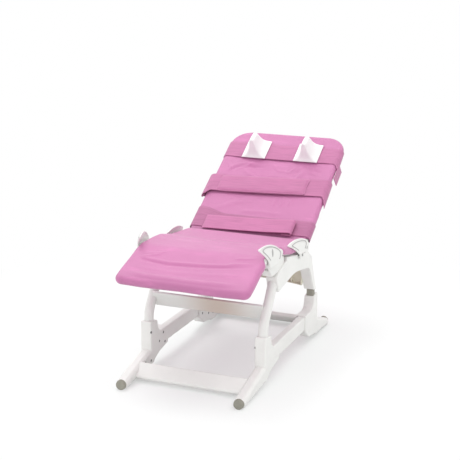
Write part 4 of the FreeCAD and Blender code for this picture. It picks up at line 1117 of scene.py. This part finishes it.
class BATHCHAIR_OT_head_cushions(BathChairOperator):
    """Makes the two wedge cushions that hold the head"""

    bl_idname = "bathchair.head_cushions"
    bl_label = "Head cushions"

    def execute(self, context):
        cover = coated_cloth("cushion cloth", (0.86, 0.85, 0.85))
        for side, way in SIDES:
            height = settings().cushion_height * 1000
            piece = head_cushion(f"head_cushion_{side}_foam", way, 88.0, 90.0, height, cover)
            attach(piece, f"head_cushion_{side}")
            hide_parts(f"head_block_{side}")
        return {"FINISHED"}


WHITE = (1.0, 1.0, 1.0, 1.0)
FLOOR_REACH = 9
# Lamps: name, place, width, power
LAMPS = (("key", (-1.0, 0.5, 2.7), 1.5, 24.0), ("fill", (0.6, -2.9, 1.7), 2.6, 13.0),
         ("top", (0.9, 0.3, 2.6), 1.8, 12.0))
LAMP_TARGET = (0, 0, 0.3)
# The camera, fitted to the photograph: its place, its angles in degrees, and its lens in the photo's pixels
CAMERA_PLACE = (1341.3, -3030.1, 1347.8)
CAMERA_DOWN, CAMERA_ROUND = 14.87, 22.49
LENS_PIXELS, PHOTO_PIXELS = 1152.07, 460.0
SENSOR_WIDTH = 36.0


def mix_shaders(tree, factor, first, second, target):
    """Links a mix of two shaders to a target socket."""
    mix = tree.nodes.new("ShaderNodeMixShader")
    for index, socket in enumerate((factor, first, second)):
        tree.links.new(socket, mix.inputs[index])
    tree.links.new(mix.outputs[0], target)


def glowing(node, strength):
    """Sets an emission or background node to white; gives its output."""
    node.inputs["Color"].default_value = WHITE
    node.inputs["Strength"].default_value = strength
    return node.outputs[0]


class BATHCHAIR_OT_stage(BathChairOperator):
    """Sets the pale floor, the soft light and the camera"""

    bl_idname = "bathchair.stage"
    bl_label = "Stage"

    def execute(self, context):
        scene = context.scene
        scene.view_settings.view_transform = "Standard"
        wiring = Wiring("studio floor")
        tree = wiring.tree
        wiring.set(Base_Color=(0.85, 0.865, 0.858, 1.0), Roughness=0.75, Specular_IOR_Level=0.2)
        glow = glowing(tree.nodes.new("ShaderNodeEmission"), 1.0)
        rays = tree.nodes.new("ShaderNodeLightPath")
        x, y, _ = wiring.parts(wiring.here())
        span = x * x + y * y
        shown = 0.3 + span.between(0.08, 0.55) * 0.46 + span.between(0.5, 1.6) * 0.24
        seen = Signal(wiring, rays.outputs["Is Camera Ray"]) * shown
        output = next(n for n in tree.nodes if n.type == "OUTPUT_MATERIAL")
        mix_shaders(tree, seen.socket, wiring.shader.outputs[0], glow, output.inputs[0])
        corners = [(x * FLOOR_REACH, y * FLOOR_REACH, 0) for x, y in ((-1, -1), (1, -1), (1, 1), (-1, 1))]
        floor = mesh_piece("floor", corners, [(0, 1, 2, 3)], None, wiring.material)

        world = bpy.data.worlds.new("studio")
        world.use_nodes = True
        scene.world = world
        tree = world.node_tree
        backdrop = glowing(tree.nodes["Background"], 0.98)
        plain = glowing(tree.nodes.new("ShaderNodeBackground"), 1.0)
        rays = tree.nodes.new("ShaderNodeLightPath")
        output = tree.nodes["World Output"]
        mix_shaders(tree, rays.outputs["Is Camera Ray"], backdrop, plain, output.inputs[0])

        for name, spot, size, power in LAMPS:
            lamp = bpy.data.lights.new(name, "AREA")
            lamp.shape = "DISK"
            lamp.size = size
            lamp.energy = power
            holder = add_object(name, lamp)
            holder.location = spot
            holder.rotation_euler = (Vector(LAMP_TARGET) - Vector(spot)).to_track_quat("-Z", "Y").to_euler()

        camera = bpy.data.cameras.new("camera")
        camera.sensor_width = SENSOR_WIDTH
        camera.lens = LENS_PIXELS * SENSOR_WIDTH / PHOTO_PIXELS
        camera.clip_end = 50.0
        holder = add_object("camera", camera)
        holder.location = place(*CAMERA_PLACE)
        holder.rotation_euler = (radians(90 - CAMERA_DOWN), 0, radians(CAMERA_ROUND))
        scene.camera = holder
        return {"FINISHED"}


class BATHCHAIR_PT_panel(Panel):
    """Lists the bath chair's settings and steps."""

    bl_label = "Bath chair"
    bl_idname = "BATHCHAIR_PT_panel"
    bl_space_type = "VIEW_3D"
    bl_region_type = "UI"
    bl_category = "Bath chair"

    def draw(self, context):
        for name in BathChairSettings.__annotations__:
            self.layout.prop(context.scene.bath_chair, name)
        for step in STEPS:
            self.layout.operator(step.bl_idname)


STEPS = (BATHCHAIR_OT_finishes, BATHCHAIR_OT_lever_trims, BATHCHAIR_OT_sling, BATHCHAIR_OT_straps,
         BATHCHAIR_OT_pads, BATHCHAIR_OT_head_cushions, BATHCHAIR_OT_stage)
CLASSES = (BathChairSettings,) + STEPS + (BATHCHAIR_PT_panel,)


def register():
    for item in CLASSES:
        bpy.utils.register_class(item)
    bpy.types.Scene.bath_chair = PointerProperty(type=BathChairSettings)


def unregister():
    del bpy.types.Scene.bath_chair
    for item in reversed(CLASSES):
        bpy.utils.unregister_class(item)


def main():
    register()
    for step in STEPS:
        group, name = step.bl_idname.split(".")
        getattr(getattr(bpy.ops, group), name)()


if __name__ == "__main__":
    main()
